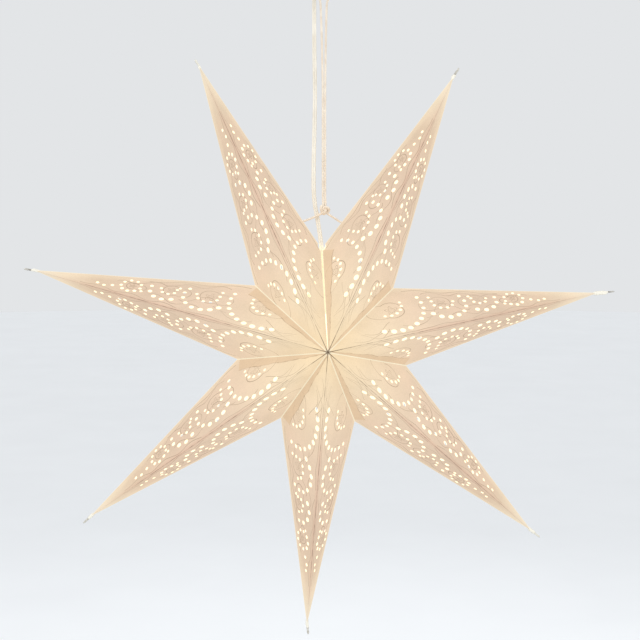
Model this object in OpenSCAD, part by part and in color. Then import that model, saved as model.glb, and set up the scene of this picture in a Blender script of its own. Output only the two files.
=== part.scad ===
/* [Star] */
// Reach of an arm's folded tip from the star's centre, before its own lean
arm_reach = 291; // [220:1:360]
// Reach of the valleys between the arms from the star's centre
notch_reach = 88; // [76:1:104]
// Depth of the star from its middle plane to the front or the back point
half_depth = 90; // [80:1:110]
// Thickness of the paper
paper_t = 0.5; // [0.3:0.1:1]
// Turn of the hung star, clockwise from the front
star_turn = 2.2; // [0:0.1:6]
// Drop of the star's centre below the ceiling
star_drop = 385; // [380:1:390]
// Length of the pinched nib beyond the folded tip
nib_out = 9.5; // [4:0.5:14]
// Length of the pinched nib inside the folded tip
nib_in = 10; // [8:0.5:11]
// Width of the pinched nib
nib_w = 3.2; // [2:0.1:4]
// Thickness of the pinched nib
nib_t = 2.2; // [1.5:0.1:3]

/* [Glue tabs and seam] */
// Width of a glue tab at its outer end
tab_w = 14; // [8:0.5:18]
// Width of a glue tab at its hub end
tab_hub_w = 3; // [2:0.5:4]
// How far a glue tab's free edge is cut back at its outer end
tab_slant = 7; // [2:0.5:10]
// Glue between a tab and the next arm's paper
glue_t = 0.05; // [0.02:0.01:0.2]
// Opening of the closing seam at its notch, in degrees
seam_angle = 1; // [0.4:0.1:2]
// How far the closing flap's free edge springs off the paper
flap_lift = 2; // [0.5:0.1:4]
// Diameter of the cable's opening at the closing seam
cable_opening_d = 9; // [7:0.5:12]

/* [Pierced lace] */
// Radius of the large pierced holes
hole_r = 2.6; // [1.5:0.1:2.8]
// Radius of the smaller pierced holes further out
hole_small_r = 2.2; // [1.2:0.1:2.5]
// Sides of each pierced hole's outline
hole_sides = 6; // [5:1:12]
// Length of the panel that the lace is drawn for, from hub to tip
lace_l = 305; // [280:1:320]
// Width of the panel that the lace is drawn for, from ridge to notch
lace_w = 75; // [70:1:90]

/* [String] */
// Diameter of the string
string_d = 2.2; // [1.5:0.1:2.4]
// Diameter of the string's holes in the two upper arms
string_hole_d = 2.8; // [2.6:0.1:4]
// Distance of those holes from the closing notch, along the arm's edge
string_hole_reach = 31; // [24:0.5:36]
// Diameter of the knot that ties the hanging loop to the arms' string
knot_d = 10; // [8:0.5:12]
// Diameter of the end knots inside the two upper arms
end_knot_d = 5.4; // [4.5:0.1:6]

/* [Cable and lampholder] */
// Width of the flat twin cable
cable_w = 4.2; // [3.6:0.1:4.4]
// Thickness of the flat twin cable
cable_t = 2.4; // [2:0.1:3]
// Outer diameter of the lampholder
holder_d = 27; // [26.4:0.1:29]
// Wall of the lampholder's cap
holder_wall = 1.5; // [1:0.1:1.8]
// Height of the lampholder's cap
cap_h = 24; // [23:0.5:27]
// Height of the lampholder's skirt
skirt_h = 21; // [20:0.5:22]
// Length of cable that goes into the cap
cable_in_cap = 7; // [5:0.5:9]
// Thickness of the contact block
block_h = 9; // [7:0.5:10]
// Radius of the lamp's screw base
base_r = 6.7; // [6.4:0.05:6.9]
// Length of the lamp's screw base
base_h = 15; // [14:0.5:16]
// Radius of the lampholder's mouth
mouth_r = 7.2; // [7.1:0.05:7.6]
// Radius of the lamp's round bulb
bulb_r = 22.5; // [20:0.5:25]
// Height from the lamp's end contact to the middle of its bulb
bulb_drop = 46; // [44:0.5:48]

/* [Ceiling fitting] */
// Diameter of the ceiling cup
cup_d = 84; // [78:1:100]
// Height of the ceiling cup
cup_h = 28; // [26:0.5:32]
// Wall of the ceiling cup
cup_wall = 1.6; // [1.2:0.1:2.4]
// Diameter of the ceiling plate
plate_d = 62; // [58:1:66]
// Thickness of the ceiling plate
plate_t = 2; // [1.5:0.1:3]
// Distance between the ceiling plate's two screw holes
screw_pitch = 46; // [44:1:48]
// Diameter of the ceiling plate's screw holes
screw_hole_d = 4.5; // [3.5:0.1:5]
// Height of the cord grip below the cup
grip_h = 14; // [10:0.5:15]
// Outer diameter of the cord grip
grip_d = 13; // [12:0.5:14]
// Diameter of the cord grip's neck through the cup
grip_neck_d = 9; // [8:0.5:10]
// Diameter of the hook's wire
hook_wire_d = 4; // [3:0.1:4.2]
// Radius of the hook's bend at the middle of its wire
hook_bend_r = 6; // [5.5:0.1:6.5]
// Diameter of the screws that hold the cup
cup_screw_d = 3; // [2.5:0.1:3.5]

/* [Hidden] */
ARM_NODES = ["arm_1", "arm_2", "arm_3", "arm_4", "arm_5", "arm_6", "arm_7"];
$fn = 48;

paper = [0.93, 0.80, 0.66];
cotton = [0.86, 0.78, 0.66];
cable_white = [0.88, 0.85, 0.78];
plastic = [0.90, 0.88, 0.83];
brass = [0.80, 0.64, 0.33];
zinc = [0.72, 0.73, 0.74];

arm_count = len(ARM_NODES);
arm_step = 360 / arm_count;
// Hand-made star: each arm's own lean and extra reach, anticlockwise from the closing seam
arm_lean = [0.1, 0.5, 0.6, -0.5, -1.4, -1.1, 1.2];
arm_extra = [5, -2, -3, -1, 3, -5, 3];
// The same for the valley after each arm
notch_lean = [-0.4, 0.8, 0.5, -0.3, -0.9, -0.3, 1.5];
notch_extra = [-2, -3.5, -2, 0, 2, 2.5, 6];
front = [0, -half_depth, 0];
back = [0, half_depth, 0];

// Dotted scrolls on every panel, mirrored about its ridge:
// [centre along the ridge, centre out from it, radius, first angle, angle between holes, holes, hole radius]
lace_arcs = [
    [83.5, 46, 38.6, -116, 13.9, 6, hole_r],
    [144, 32.5, 21.5, -150, 24.5, 4, hole_r],
    [182, 27, 16.4, -129, 32, 4, hole_small_r]
];
// How far each arm's lace sits out of place along its ridge, as its sheet was cut
lace_slip = [-9, -6, -5, -2, -6, -2, -7];

// Where the tab begins and ends, as shares of its valley
tab_from = 0.08;
tab_to = 0.97;
// The fold that joins it to its own paper is shorter at both ends
bead_from = 0.11;
bead_to = 0.94;
bead_w = 1.2;
lap = 0.3;

clearance = 0.3;
small_clearance = 0.05;
cable_end_z = -318;
holder_x = 1.5;
holder_top = cable_end_z + cable_in_cap;
contact_gap = 4;
bulb_tip = -cap_h - contact_gap;
// Lampholder: chamfer of its collar and ring, and the corners of its shoulder below its top
chamfer = 1;
collar_h = 4;
cap_roof = 5;
shoulder_w = 3;
shoulder_top = 8;
shoulder_middle = 10;
shoulder_end = 13;
ring_top = 2;
ring_h = 5;
skirt_edge = 2;
contact_bore_d = 3.2;
contact_bore_depth = 3;
contact_stem_r = 2;
contact_foot_r = 3;
contact_foot_h = 1;
side_contact_w = 2;
side_contact_reach = 6;
base_start = 3;
neck_start = base_start + base_h;
grip_x = -5;
grip_y = 14;
hook_x = 3.4;
// Inside of the hanging loop's top, where the hook's wire carries it
loop_top = -40;
hook_z = loop_top - string_d / 2 - hook_wire_d / 2 - small_clearance + hook_bend_r;
cup_inner_r = cup_d / 2 - cup_wall;
lug_w = 12;
lug_t = 2;
lug_drop = 18;
// Outer face of a lug, whose corners stay clear of the cup's wall
lug_x = sqrt(pow(cup_inner_r - clearance, 2) - pow(lug_w / 2, 2));
cup_screw_z = -14;
cup_screw_l = 8;
screw_head_h = 1.8;
boss_h = 6;
boss_wall = 2.5;
hook_nose_h = 3;
terminal_w = 14;
terminal_depth = 12;
terminal_h = 10;
wire_d = 3;
wire_pitch = 8;
wire_depth = 4;

// Routes of the string and the cable, from the hand-set hang of the star
cable_route = [
    [-5, 14, -12], [-5, 14, -28], [-5, 14, -44], [-5, 13.5, -62], [-5, 12, -95], [-4.6, 10, -135],
    [-5, 8.5, -165], [-5.8, 7, -195], [-6.2, 6, -220], [-6, 5, -237], [-5, 4.5, -249], [-3.2, 4, -259],
    [-1, 2.8, -273], [0.9, 1.4, -287], [1.5, 0.5, -298], [1.5, 0, -308], [1.5, 0, -318]
];
loop_route = [
    [3.0, 0, -254], [2.8, 0, -246], [2.5, 0, -236], [2.45, 0, -190], [2.45, 0, -150], [2.3, 0, -128],
    [1.5, 0, -92], [0.4, 0, -58], [-0.5, 0, -51], [-1.0, 0, -46.5], [-0.5, 0, -43], [1.1, 0, -40.8],
    [3.4, 0, -40], [5.7, 0, -40.8], [7.3, 0, -43], [7.8, 0, -46.5], [7.3, 0, -51], [6.2, 0, -58],
    [5.4, 0, -92], [4.9, 0, -128], [4.8, 0, -150], [4.8, 0, -190], [4.8, 0, -236], [5.0, 0, -246],
    [5.2, 0, -254]
];
arm_string_route = [
    [-22.5, 0, -267.5], [-19.7, 0, -266.4], [-16.9, 0, -265.3], [-11, 0, -263], [-5, 0, -260.6],
    [-1, 0, -258.7],
    [1.6, 0, -257.4], [4, 0, -256.9], [6.4, 0, -257.4], [9, 0, -258.9], [13, 0, -261.4],
    [17, 0, -264], [20.9, 0, -266.5], [23.6, 0, -268.2], [26.3, 0, -269.9]
];
knot_at = [4.1, 0, -254];

function unit(v) = v / norm(v);
function square_to(v, e) = v - e * (v * e);
function polar(r, a) = [r * cos(a), 0, r * sin(a)];

// Tip of arm k, counted from 1, and the valley after it; valley 0 is the seam's other lip
function tip(k) = polar(
    arm_reach + arm_extra[k - 1],
    90 + (k - 0.5) * arm_step - star_turn + arm_lean[k - 1]);
function seam_side(k) = k == 0 ? 1 : k == arm_count ? -1 : 0;
function notch(k) =
    let (i = (k + arm_count - 1) % arm_count)
    polar(
        notch_reach + notch_extra[i],
        90 + k * arm_step - star_turn + notch_lean[i] + seam_side(k) * seam_angle / 2);
function neighbour_tip(k) = tip(k % arm_count + 1);
// Outward normal of the panel with these corners
function panel_normal(point, t, n) =
    let (c = unit(cross(t - point, n - point)))
    c * point > 0 ? c : -c;
// Shift of an arm's tip that brings both of its front panels in by the paper's thickness
function tip_shift(k) =
    let (
        a = panel_normal(front, tip(k), notch(k - 1)),
        b = panel_normal(front, tip(k), notch(k)),
        det = a.x * b.z - a.z * b.x)
    [-paper_t * (b.z - a.z) / det, 0, -paper_t * (a.x - b.x) / det];

// Solid of the arm's outer form, with its tip at t
module arm_form(t, cw, ccw, near, far) {
    polyhedron(
        points = [t, near, cw, far, ccw],
        faces = [[0, 2, 1], [0, 3, 2], [0, 4, 3], [0, 1, 4], [1, 2, 3], [1, 3, 4]]);
}

// The arm's hollow: the same form moved in, and long enough to pass the hub
module arm_hollow(k) {
    inner = tip(k) + tip_shift(k);
    past = 1.2;
    arm_form(
        inner,
        inner + (notch(k - 1) - tip(k)) * past,
        inner + (notch(k) - tip(k)) * past,
        inner + (front - tip(k)) * past,
        inner + (back - tip(k)) * past);
}

// Children drawn on a panel: x runs from the hub along the ridge, y out to the notch
module on_panel(point, t, n) {
    ridge = unit(t - point);
    across = unit(square_to(n - point, ridge));
    up = cross(ridge, across);
    multmatrix([
        [ridge.x, across.x, up.x, point.x],
        [ridge.y, across.y, up.y, point.y],
        [ridge.z, across.z, up.z, point.z],
        [0, 0, 0, 1]])
        children();
}

// Holes of the lace, scaled with the panel's length and width, and slipped along the ridge
module lace(point, t, n, slip) {
    along = norm(t - point) / lace_l;
    out = norm(square_to(n - point, unit(t - point))) / lace_w;
    on_panel(point, t, n)
        linear_extrude(6 * paper_t, center = true)
            for (arc = lace_arcs, i = [0 : arc[5] - 1])
                let (a = arc[3] + i * arc[4])
                translate([(arc[0] + slip + arc[2] * cos(a)) * along, (arc[1] + arc[2] * sin(a)) * out])
                    circle(arc[6], $fn = hole_sides);
}

// Solid between two four-cornered sections, whichever way round they are drawn
module strip(a, b) {
    turn = cross(a[1] - a[0], a[2] - a[0]) * (b[0] - a[0]);
    polyhedron(
        points = turn > 0 ? concat(b, a) : concat(a, b),
        faces = [[3, 2, 1, 0], [4, 5, 6, 7], [0, 1, 5, 4], [1, 2, 6, 5], [2, 3, 7, 6], [3, 0, 4, 7]]);
}

// Glue tab along the valley after arm k, under the next arm's paper, on the front or the back
module glue_tab(k, point) {
    valley = unit(notch(k) - point);
    own = unit(square_to(tip(k) - point, valley));
    next = unit(square_to(neighbour_tip(k) - point, valley));
    inward = unit(square_to(-point, valley));
    own_in = -panel_normal(point, tip(k), notch(k));
    next_in = -panel_normal(point, neighbour_tip(k), notch(k));
    face = inward * (paper_t + glue_t) / (next_in * inward);
    under = inward * (2.4 * paper_t + glue_t) / (next_in * inward);
    function at(share) = point + (notch(k) - point) * share;
    function tab_section(share, w, slide) =
        let (root = at(share) + face - next * lap, edge = at(share) + face + next * w + valley * slide)
        [root, edge, edge + next_in * paper_t, root + next_in * paper_t];
    function bead_section(share) = [
        at(share) + face + next_in * paper_t / 4,
        at(share) + under,
        at(share) + own * bead_w + own_in * paper_t / 2,
        at(share) + own * lap + own_in * paper_t / 2];
    strip(tab_section(tab_from, tab_hub_w, tab_hub_w / 2), tab_section(tab_to, tab_w, -tab_slant));
    strip(bead_section(bead_from), bead_section(bead_to));
}

// Closing flap of the last arm, folded back under its own paper at the seam
module closing_flap(point) {
    k = arm_count;
    valley = unit(notch(k) - point);
    own = unit(square_to(tip(k) - point, valley));
    inward = unit(square_to(-point, valley));
    own_in = -panel_normal(point, tip(k), notch(k));
    hinge = inward * paper_t / (own_in * inward) + own * lap;
    function flap_section(share, w, slide) =
        let (
            root = point + (notch(k) - point) * share + hinge - own_in * paper_t / 2,
            edge = root + own * w + own_in * flap_lift * w / tab_w + valley * slide)
        [root, edge, edge + own_in * paper_t, root + own_in * paper_t];
    strip(flap_section(tab_from, tab_hub_w, tab_hub_w / 2), flap_section(tab_to, tab_w, -tab_slant));
}

// Corners of the nib's section, in quarters of its thickness and width
nib_corners = [[2, 1], [1, 2], [-1, 2], [-2, 1], [-2, -1], [-1, -2], [1, -2], [2, -1]];

// Pinched end of the arm, where its four layers meet
module nib(k) {
    t = tip(k);
    translate(t)
        rotate([0, -atan2(t.z, t.x), 0])
            translate([-nib_in, 0, 0])
                rotate([90, 0, 90])
                    linear_extrude(nib_in + nib_out)
                        polygon([for (corner = nib_corners) [corner.x * nib_t / 4, corner.y * nib_w / 4]]);
}

// Hole for the string through the edge of an arm beside the closing seam
module string_hole(k, n) {
    edge = unit(tip(k) - n);
    along = unit([edge.z, 0, -edge.x]);
    translate(n + edge * string_hole_reach)
        rotate([0, atan2(along.x, along.z), 0])
            cylinder(d = string_hole_d, h = 4 * string_hole_d, center = true);
}

// One arm: a sheet folded along its ridges and edges, pierced, with a tab along its front and back valleys
module arm(k) {
    color(paper)
        translate([0, 0, -star_drop])
            difference() {
                union() {
                    difference() {
                        arm_form(tip(k), notch(k - 1), notch(k), front, back);
                        arm_hollow(k);
                        for (point = [front, back], n = [notch(k - 1), notch(k)])
                            lace(point, tip(k), n, lace_slip[k - 1]);
                    }
                    nib(k);
                    for (point = [front, back])
                        if (k < arm_count)
                            glue_tab(k, point);
                        else
                            closing_flap(point);
                }
                if (k == 1)
                    string_hole(k, notch(0));
                if (k == arm_count)
                    string_hole(k, notch(arm_count));
                if (k == 1 || k == arm_count)
                    translate([(notch(0).x + notch(arm_count).x) / 2, 0, notch(0).z])
                        cylinder(d = cable_opening_d, h = notch_reach / 3, center = true);
            }
}

// Smooth run through the route's points, with n rings between two neighbours
function spline(p, n) = [
    for (i = [0 : len(p) - 2], s = [0 : n - 1])
        let (
            t = s / n,
            a = p[max(i - 1, 0)], b = p[i], c = p[i + 1], d = p[min(i + 2, len(p) - 1)])
        0.5 * (2 * b + (c - a) * t + (2 * a - 5 * b + 4 * c - d) * t ^ 2 + (3 * b - a - 3 * c + d) * t ^ 3),
    p[len(p) - 1]
];

// Tube of an oval section swept along a route; side is the section's wide direction
module swept_tube(route, w, t, side, sides = 8) {
    last = len(route) - 1;
    rings = [
        for (i = [0 : last])
            let (
                run = unit(route[min(i + 1, last)] - route[max(i - 1, 0)]),
                wide = unit(square_to(side, run)),
                flat = cross(run, wide))
            for (j = [0 : sides - 1])
                let (a = 360 * (j + 0.5) / sides)
                route[i] + wide * (w / 2 * cos(a)) + flat * (t / 2 * sin(a))
    ];
    polyhedron(
        points = rings,
        faces = concat(
            [[for (j = [0 : sides - 1]) j]],
            [[for (j = [sides - 1 : -1 : 0]) last * sides + j]],
            [for (i = [0 : last - 1], j = [0 : sides - 1])
                let (a = i * sides + j, b = i * sides + (j + 1) % sides)
                [a, a + sides, b + sides, b]]));
}

module string_tube(route) {
    swept_tube(route, string_d, string_d, [0, 1, 0]);
}

module arm_string() {
    color(cotton) string_tube(arm_string_route);
}

module hanging_loop() {
    color(cotton) string_tube(loop_route);
}

// Ball with the strings' own room left in it
module knot_ball(at, d) {
    difference() {
        translate(at) sphere(d = d);
        string_tube(arm_string_route);
        string_tube(loop_route);
    }
}

module string_knot() {
    color(cotton) knot_ball(knot_at, knot_d);
}

module left_end_knot() {
    color(cotton) knot_ball(arm_string_route[0], end_knot_d);
}

module right_end_knot() {
    color(cotton) knot_ball(arm_string_route[len(arm_string_route) - 1], end_knot_d);
}

module lamp_cable() {
    color(cable_white) swept_tube(spline(cable_route, 2), cable_w, cable_t, [1, 0, 0]);
}

// Children placed on the lampholder's axis, with the top of its cap at z = 0
module on_holder() {
    translate([holder_x, 0, holder_top]) children();
}

module holder_cap() {
    r = holder_d / 2;
    bore_r = cable_w / 2 + clearance;
    neck_r = bore_r + holder_wall;
    color(plastic) on_holder() rotate_extrude() polygon([
        [bore_r, 0], [neck_r, 0], [neck_r + chamfer, -chamfer], [neck_r + chamfer, -collar_h],
        [r - shoulder_w, -shoulder_top], [r - 0.8, -shoulder_middle], [r, -shoulder_end], [r, -cap_h],
        [r - holder_wall, -cap_h], [r - holder_wall, -shoulder_end],
        [r - holder_wall - shoulder_w, -shoulder_middle], [bore_r, -cap_roof]]);
}

module contact_block() {
    r = holder_d / 2 - holder_wall - small_clearance;
    color(plastic) on_holder() translate([0, 0, -cap_h]) difference() {
        cylinder(r = r, h = block_h);
        for (side = [-1, 1])
            translate([side * r / 2, 0, block_h - contact_bore_depth])
                cylinder(d = contact_bore_d, h = contact_bore_depth + 1);
    }
}

module centre_contact() {
    color(brass) on_holder() translate([0, 0, bulb_tip + small_clearance]) {
        cylinder(r = contact_stem_r, h = contact_gap - small_clearance);
        cylinder(r = contact_foot_r, h = contact_foot_h);
    }
}

module side_contact() {
    color(brass) on_holder()
        translate([base_r + small_clearance, -side_contact_w / 2, bulb_tip - side_contact_reach])
            cube([mouth_r - base_r - 4 * small_clearance, side_contact_w, side_contact_reach + contact_gap]);
}

module holder_skirt() {
    r = holder_d / 2;
    ring_z = -cap_h - ring_top;
    color(plastic) on_holder() rotate_extrude() polygon([
        [mouth_r, -cap_h], [r, -cap_h], [r, ring_z], [r + chamfer, ring_z - chamfer],
        [r + chamfer, ring_z - ring_h + chamfer], [r, ring_z - ring_h], [r, -cap_h - skirt_h + skirt_edge],
        [r - skirt_edge, -cap_h - skirt_h], [mouth_r, -cap_h - skirt_h]]);
}

// Sealed lamp: end contact, screw base, glass neck and round bulb in one
module bulb() {
    color([0.97, 0.93, 0.82]) on_holder() translate([0, 0, bulb_tip]) rotate([180, 0, 0]) {
        cylinder(r = 2.4, h = 2);
        translate([0, 0, base_start / 2]) cylinder(r1 = 3, r2 = base_r, h = base_start / 2);
        translate([0, 0, base_start]) cylinder(r = base_r, h = base_h);
        translate([0, 0, neck_start])
            cylinder(r1 = base_r, r2 = 0.5 * bulb_r, h = bulb_drop - neck_start - 0.75 * bulb_r);
        translate([0, 0, bulb_drop - 0.87 * bulb_r])
            cylinder(r1 = 0.49 * bulb_r, r2 = 0.6 * bulb_r, h = 0.2 * bulb_r);
        translate([0, 0, bulb_drop]) sphere(bulb_r);
    }
}

// Ceiling plate with two ceiling screw holes, two lugs for the cup's screws and a boss for the hook
module ceiling_plate() {
    color(zinc) difference() {
        union() {
            translate([0, 0, -plate_t]) cylinder(d = plate_d, h = plate_t);
            translate([-lug_x, -lug_w / 2, -plate_t]) cube([2 * lug_x, lug_w, plate_t]);
            for (side = [-1, 1])
                translate([side * (lug_x - lug_t / 2), 0, -lug_drop / 2])
                    cube([lug_t, lug_w, lug_drop], center = true);
            translate([hook_x, hook_bend_r, -plate_t - boss_h])
                cylinder(d = hook_wire_d + 2 * boss_wall, h = boss_h + lap);
        }
        for (side = [-1, 1]) {
            translate([0, side * screw_pitch / 2, -plate_t - 1])
                cylinder(d = screw_hole_d, h = plate_t + 2);
            translate([side * cup_d / 2, 0, cup_screw_z])
                rotate([0, 90, 0]) cylinder(
                    d = cup_screw_d + 2 * small_clearance, h = cup_d - 2 * lug_x + 4 * lug_t, center = true);
        }
        translate([hook_x, hook_bend_r, -plate_t - boss_h - 1])
            cylinder(d = hook_wire_d + 2 * small_clearance, h = boss_h + 1);
    }
}

module terminal_block() {
    color(plastic) difference() {
        translate([grip_x - 9, grip_y - 4, -plate_t - terminal_h])
            cube([terminal_w, terminal_depth, terminal_h]);
        for (side = [-1, 1])
            translate([grip_x + side * wire_pitch / 2, grip_y + 5, -plate_t - terminal_h - 1])
                cylinder(d = wire_d, h = wire_depth + 1);
    }
}

// Cup against the ceiling, with holes for the cord grip, the hook and its two screws
module ceiling_cup() {
    r = cup_d / 2;
    color(cable_white) difference() {
        rotate_extrude() polygon([
            [r - cup_wall, -0.5], [r, -0.5], [r, -cup_h + 6], [r - 2, -cup_h + 2], [r - 6, -cup_h],
            [0, -cup_h], [0, -cup_h + cup_wall], [r - 7, -cup_h + cup_wall], [r - 3.2, -cup_h + 3.4],
            [r - cup_wall, -cup_h + 7]]);
        translate([grip_x, grip_y, -cup_h - 1])
            cylinder(d = grip_neck_d + 2 * small_clearance, h = cup_wall + 2);
        translate([hook_x, hook_bend_r, -cup_h - 1])
            cylinder(d = hook_wire_d + 2 * clearance, h = cup_wall + 2);
        for (side = [-1, 1])
            translate([side * r, 0, cup_screw_z])
                rotate([0, 90, 0]) cylinder(d = cup_screw_d + 2 * clearance, h = 4 * cup_wall, center = true);
    }
}

module cup_screws() {
    color(zinc)
        for (side = [-1, 1])
            translate([side * cup_d / 2, 0, cup_screw_z]) rotate([0, side * 90, 0]) {
                translate([0, 0, -cup_screw_l]) cylinder(d = cup_screw_d, h = cup_screw_l + 0.5);
                difference() {
                    translate([0, 0, small_clearance]) cylinder(d = 2 * cup_screw_d, h = screw_head_h);
                    translate([0, 0, 1.9]) cube([7, 0.8, 1.4], center = true);
                }
            }
}

// Cord grip: neck through the cup, flange under it and a tapered nose, bored for the cable
module cord_grip() {
    color(plastic) translate([grip_x, grip_y, -cup_h]) rotate_extrude() polygon([
        [cable_w / 2 + clearance, cup_wall + 5], [grip_neck_d / 2, cup_wall + 5], [grip_neck_d / 2, 0],
        [grip_d / 2, 0], [grip_d / 2, -5], [grip_d / 2 - 1, -6], [grip_d / 2 - 2.5, -grip_h],
        [cable_w / 2 + clearance, -grip_h]]);
}

// Hook that carries the hanging loop: shank up into the ceiling plate's boss, bend and short nose
module string_hook() {
    color(zinc) translate([hook_x, 0, hook_z]) {
        rotate([0, 90, 0]) rotate([0, 0, -90]) rotate_extrude(angle = 180)
            translate([hook_bend_r, 0]) circle(d = hook_wire_d);
        translate([0, hook_bend_r, 0]) cylinder(d = hook_wire_d, h = -plate_t - hook_z - small_clearance);
        translate([0, -hook_bend_r, 0]) cylinder(d = hook_wire_d, h = hook_nose_h);
        translate([0, -hook_bend_r, hook_nose_h]) sphere(d = hook_wire_d);
    }
}

arm(1);  // arm_1
arm(2);  // arm_2
arm(3);  // arm_3
arm(4);  // arm_4
arm(5);  // arm_5
arm(6);  // arm_6
arm(7);  // arm_7
arm_string();
hanging_loop();
string_knot();
left_end_knot();
right_end_knot();
lamp_cable();
holder_cap();
contact_block();
centre_contact();
side_contact();
holder_skirt();
bulb();
ceiling_plate();
terminal_block();
ceiling_cup();
cup_screws();
cord_grip();
string_hook();
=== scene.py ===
"""Dresses the paper star lantern: pierced, lit paper arms on a cotton string and a flat twin cable."""

import logging
import math
import random
from dataclasses import dataclass, field
from enum import Enum
from typing import Any, Optional, Sequence

import bmesh
import bpy
from mathutils import Matrix, Vector
from mathutils.geometry import delaunay_2d_cdt

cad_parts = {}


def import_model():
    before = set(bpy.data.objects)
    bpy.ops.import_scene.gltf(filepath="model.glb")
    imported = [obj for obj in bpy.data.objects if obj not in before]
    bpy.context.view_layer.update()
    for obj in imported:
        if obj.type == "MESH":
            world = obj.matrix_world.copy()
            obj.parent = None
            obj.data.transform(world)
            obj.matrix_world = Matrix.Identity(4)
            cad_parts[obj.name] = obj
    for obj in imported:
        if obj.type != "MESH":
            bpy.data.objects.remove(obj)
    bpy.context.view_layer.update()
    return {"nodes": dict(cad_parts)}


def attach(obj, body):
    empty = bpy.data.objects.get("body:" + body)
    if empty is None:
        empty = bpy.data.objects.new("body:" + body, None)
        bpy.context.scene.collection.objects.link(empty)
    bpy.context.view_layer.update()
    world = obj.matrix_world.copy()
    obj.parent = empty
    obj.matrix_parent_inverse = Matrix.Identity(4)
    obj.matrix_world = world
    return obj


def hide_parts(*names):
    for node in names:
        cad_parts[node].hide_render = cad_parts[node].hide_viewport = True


LOG = logging.getLogger("paper_star")
MM = 0.001
# Millimetres of a panel to one unit of UV
UV_MM = 400
BODY = "root"
Point = Sequence[float]
Socket = bpy.types.NodeSocket


# The star's measures


@dataclass(frozen=True)
class StarPlan:
    """Sizes of the folded star, in millimetres, as in the CAD source."""

    arms: int = 7
    drop: float = 385
    arm_reach: float = 291
    notch_reach: float = 88
    half_depth: float = 90
    turn: float = 2.2
    seam_angle: float = 1
    paper: float = 0.5
    arm_lean: tuple[float, ...] = (0.1, 0.5, 0.6, -0.5, -1.4, -1.1, 1.2)
    arm_extra: tuple[float, ...] = (5, -2, -3, -1, 3, -5, 3)
    notch_lean: tuple[float, ...] = (-0.4, 0.8, 0.5, -0.3, -0.9, -0.3, 1.5)
    notch_extra: tuple[float, ...] = (-2, -3.5, -2, 0, 2, 2.5, 6)
    lace_slip: tuple[float, ...] = (-9, -6, -5, -2, -6, -2, -7)

    def polar(self, reach: float, angle: float) -> Vector:
        """Point of the star's middle plane at this reach and angle, in the object's frame."""
        a = math.radians(angle)
        return Vector((reach * math.cos(a), 0, reach * math.sin(a) - self.drop))

    def tip(self, k: int) -> Vector:
        """Folded tip of arm k, counted from 1, anticlockwise from the closing seam."""
        i = (k - 1) % self.arms
        angle = 90 + (i + 0.5) * 360 / self.arms - self.turn + self.arm_lean[i]
        return self.polar(self.arm_reach + self.arm_extra[i], angle)

    def notch(self, k: int) -> Vector:
        """Valley after arm k; valleys 0 and 7 are the two lips of the closing seam."""
        i = (k + self.arms - 1) % self.arms
        lip = {0: 1, self.arms: -1}.get(k, 0) * self.seam_angle / 2
        angle = 90 + k * 360 / self.arms - self.turn + self.notch_lean[i] + lip
        return self.polar(self.notch_reach + self.notch_extra[i], angle)

    def apex(self, face: float) -> Vector:
        """Front point of the star for face -1, back point for face 1."""
        return Vector((0, face * self.half_depth, -self.drop))


@dataclass(frozen=True)
class PanelPlan:
    """One flat panel of an arm as it is cut and printed, in millimetres.

    u runs from the hub to the tip, and v out to the notch.
    """

    length: float = 305
    notch_u: float = 104.5
    notch_v: float = 75.3

    @property
    def valley_length(self) -> float:
        """Length of the valley from the hub to the notch."""
        return math.hypot(self.notch_u, self.notch_v)

    @property
    def edge_length(self) -> float:
        """Length of the folded edge from the notch to the tip."""
        return math.hypot(self.length - self.notch_u, self.notch_v)

    def edge_point(self, reach: float) -> tuple[float, float]:
        """Point on the folded edge at this distance from the notch."""
        s = reach / self.edge_length
        return (self.notch_u + (self.length - self.notch_u) * s, self.notch_v * (1 - s))

    def from_edge(self, u: float, v: float) -> float:
        """Distance of a point from the folded edge."""
        return ((self.length - u) * self.notch_v - v * (self.length - self.notch_u)) / self.edge_length

    def from_valley(self, u: float, v: float) -> float:
        """Distance of a point from the valley."""
        return (u * self.notch_v - v * self.notch_u) / self.valley_length

    def from_folds(self, u: float, v: float) -> float:
        """Distance of a point from the nearest of ridge, folded edge and valley."""
        return min(v, self.from_edge(u, v), self.from_valley(u, v))


STAR = StarPlan()
PANEL = PanelPlan()


# Node and mesh helpers


def srgb(code: str) -> tuple[float, float, float, float]:
    """Turns an sRGB hex colour into a linear colour.

    Args:
        code: Six hex digits.

    Returns:
        Linear red, green and blue, and an alpha of 1.
    """
    out = []
    for i in (0, 2, 4):
        c = int(code[i : i + 2], 16) / 255
        out.append(c / 12.92 if c <= 0.04045 else ((c + 0.055) / 1.055) ** 2.4)
    return (out[0], out[1], out[2], 1.0)


def add_node(tree: bpy.types.NodeTree, kind: str, inputs: Any = (), out: Any = 0, **settings: Any) -> Socket:
    """Adds a node, sets its properties, and fills or links its inputs.

    Args:
        tree: Node tree that the node joins.
        kind: Blender's name for the node's type, without the prefix "ShaderNode".
        inputs: Values or sockets, in order or by name; None leaves an input as it is.
        out: Name or number of the output to return.
        **settings: Properties of the node.

    Returns:
        The chosen output socket, or the node itself where it has no output.
    """
    node = tree.nodes.new("ShaderNode" + kind)
    for name, value in settings.items():
        setattr(node, name, value)
    pairs = inputs.items() if isinstance(inputs, dict) else enumerate(inputs)
    for name, value in pairs:
        if isinstance(value, Socket):
            tree.links.new(value, node.inputs[name])
        elif value is not None:
            node.inputs[name].default_value = value
    return node.outputs[out] if len(node.outputs) else node


def new_material(name: str) -> tuple[bpy.types.Material, bpy.types.NodeTree]:
    """Makes an empty node material and returns it with its tree."""
    material = bpy.data.materials.new(name)
    material.use_nodes = True
    material.node_tree.nodes.clear()
    return material, material.node_tree


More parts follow.
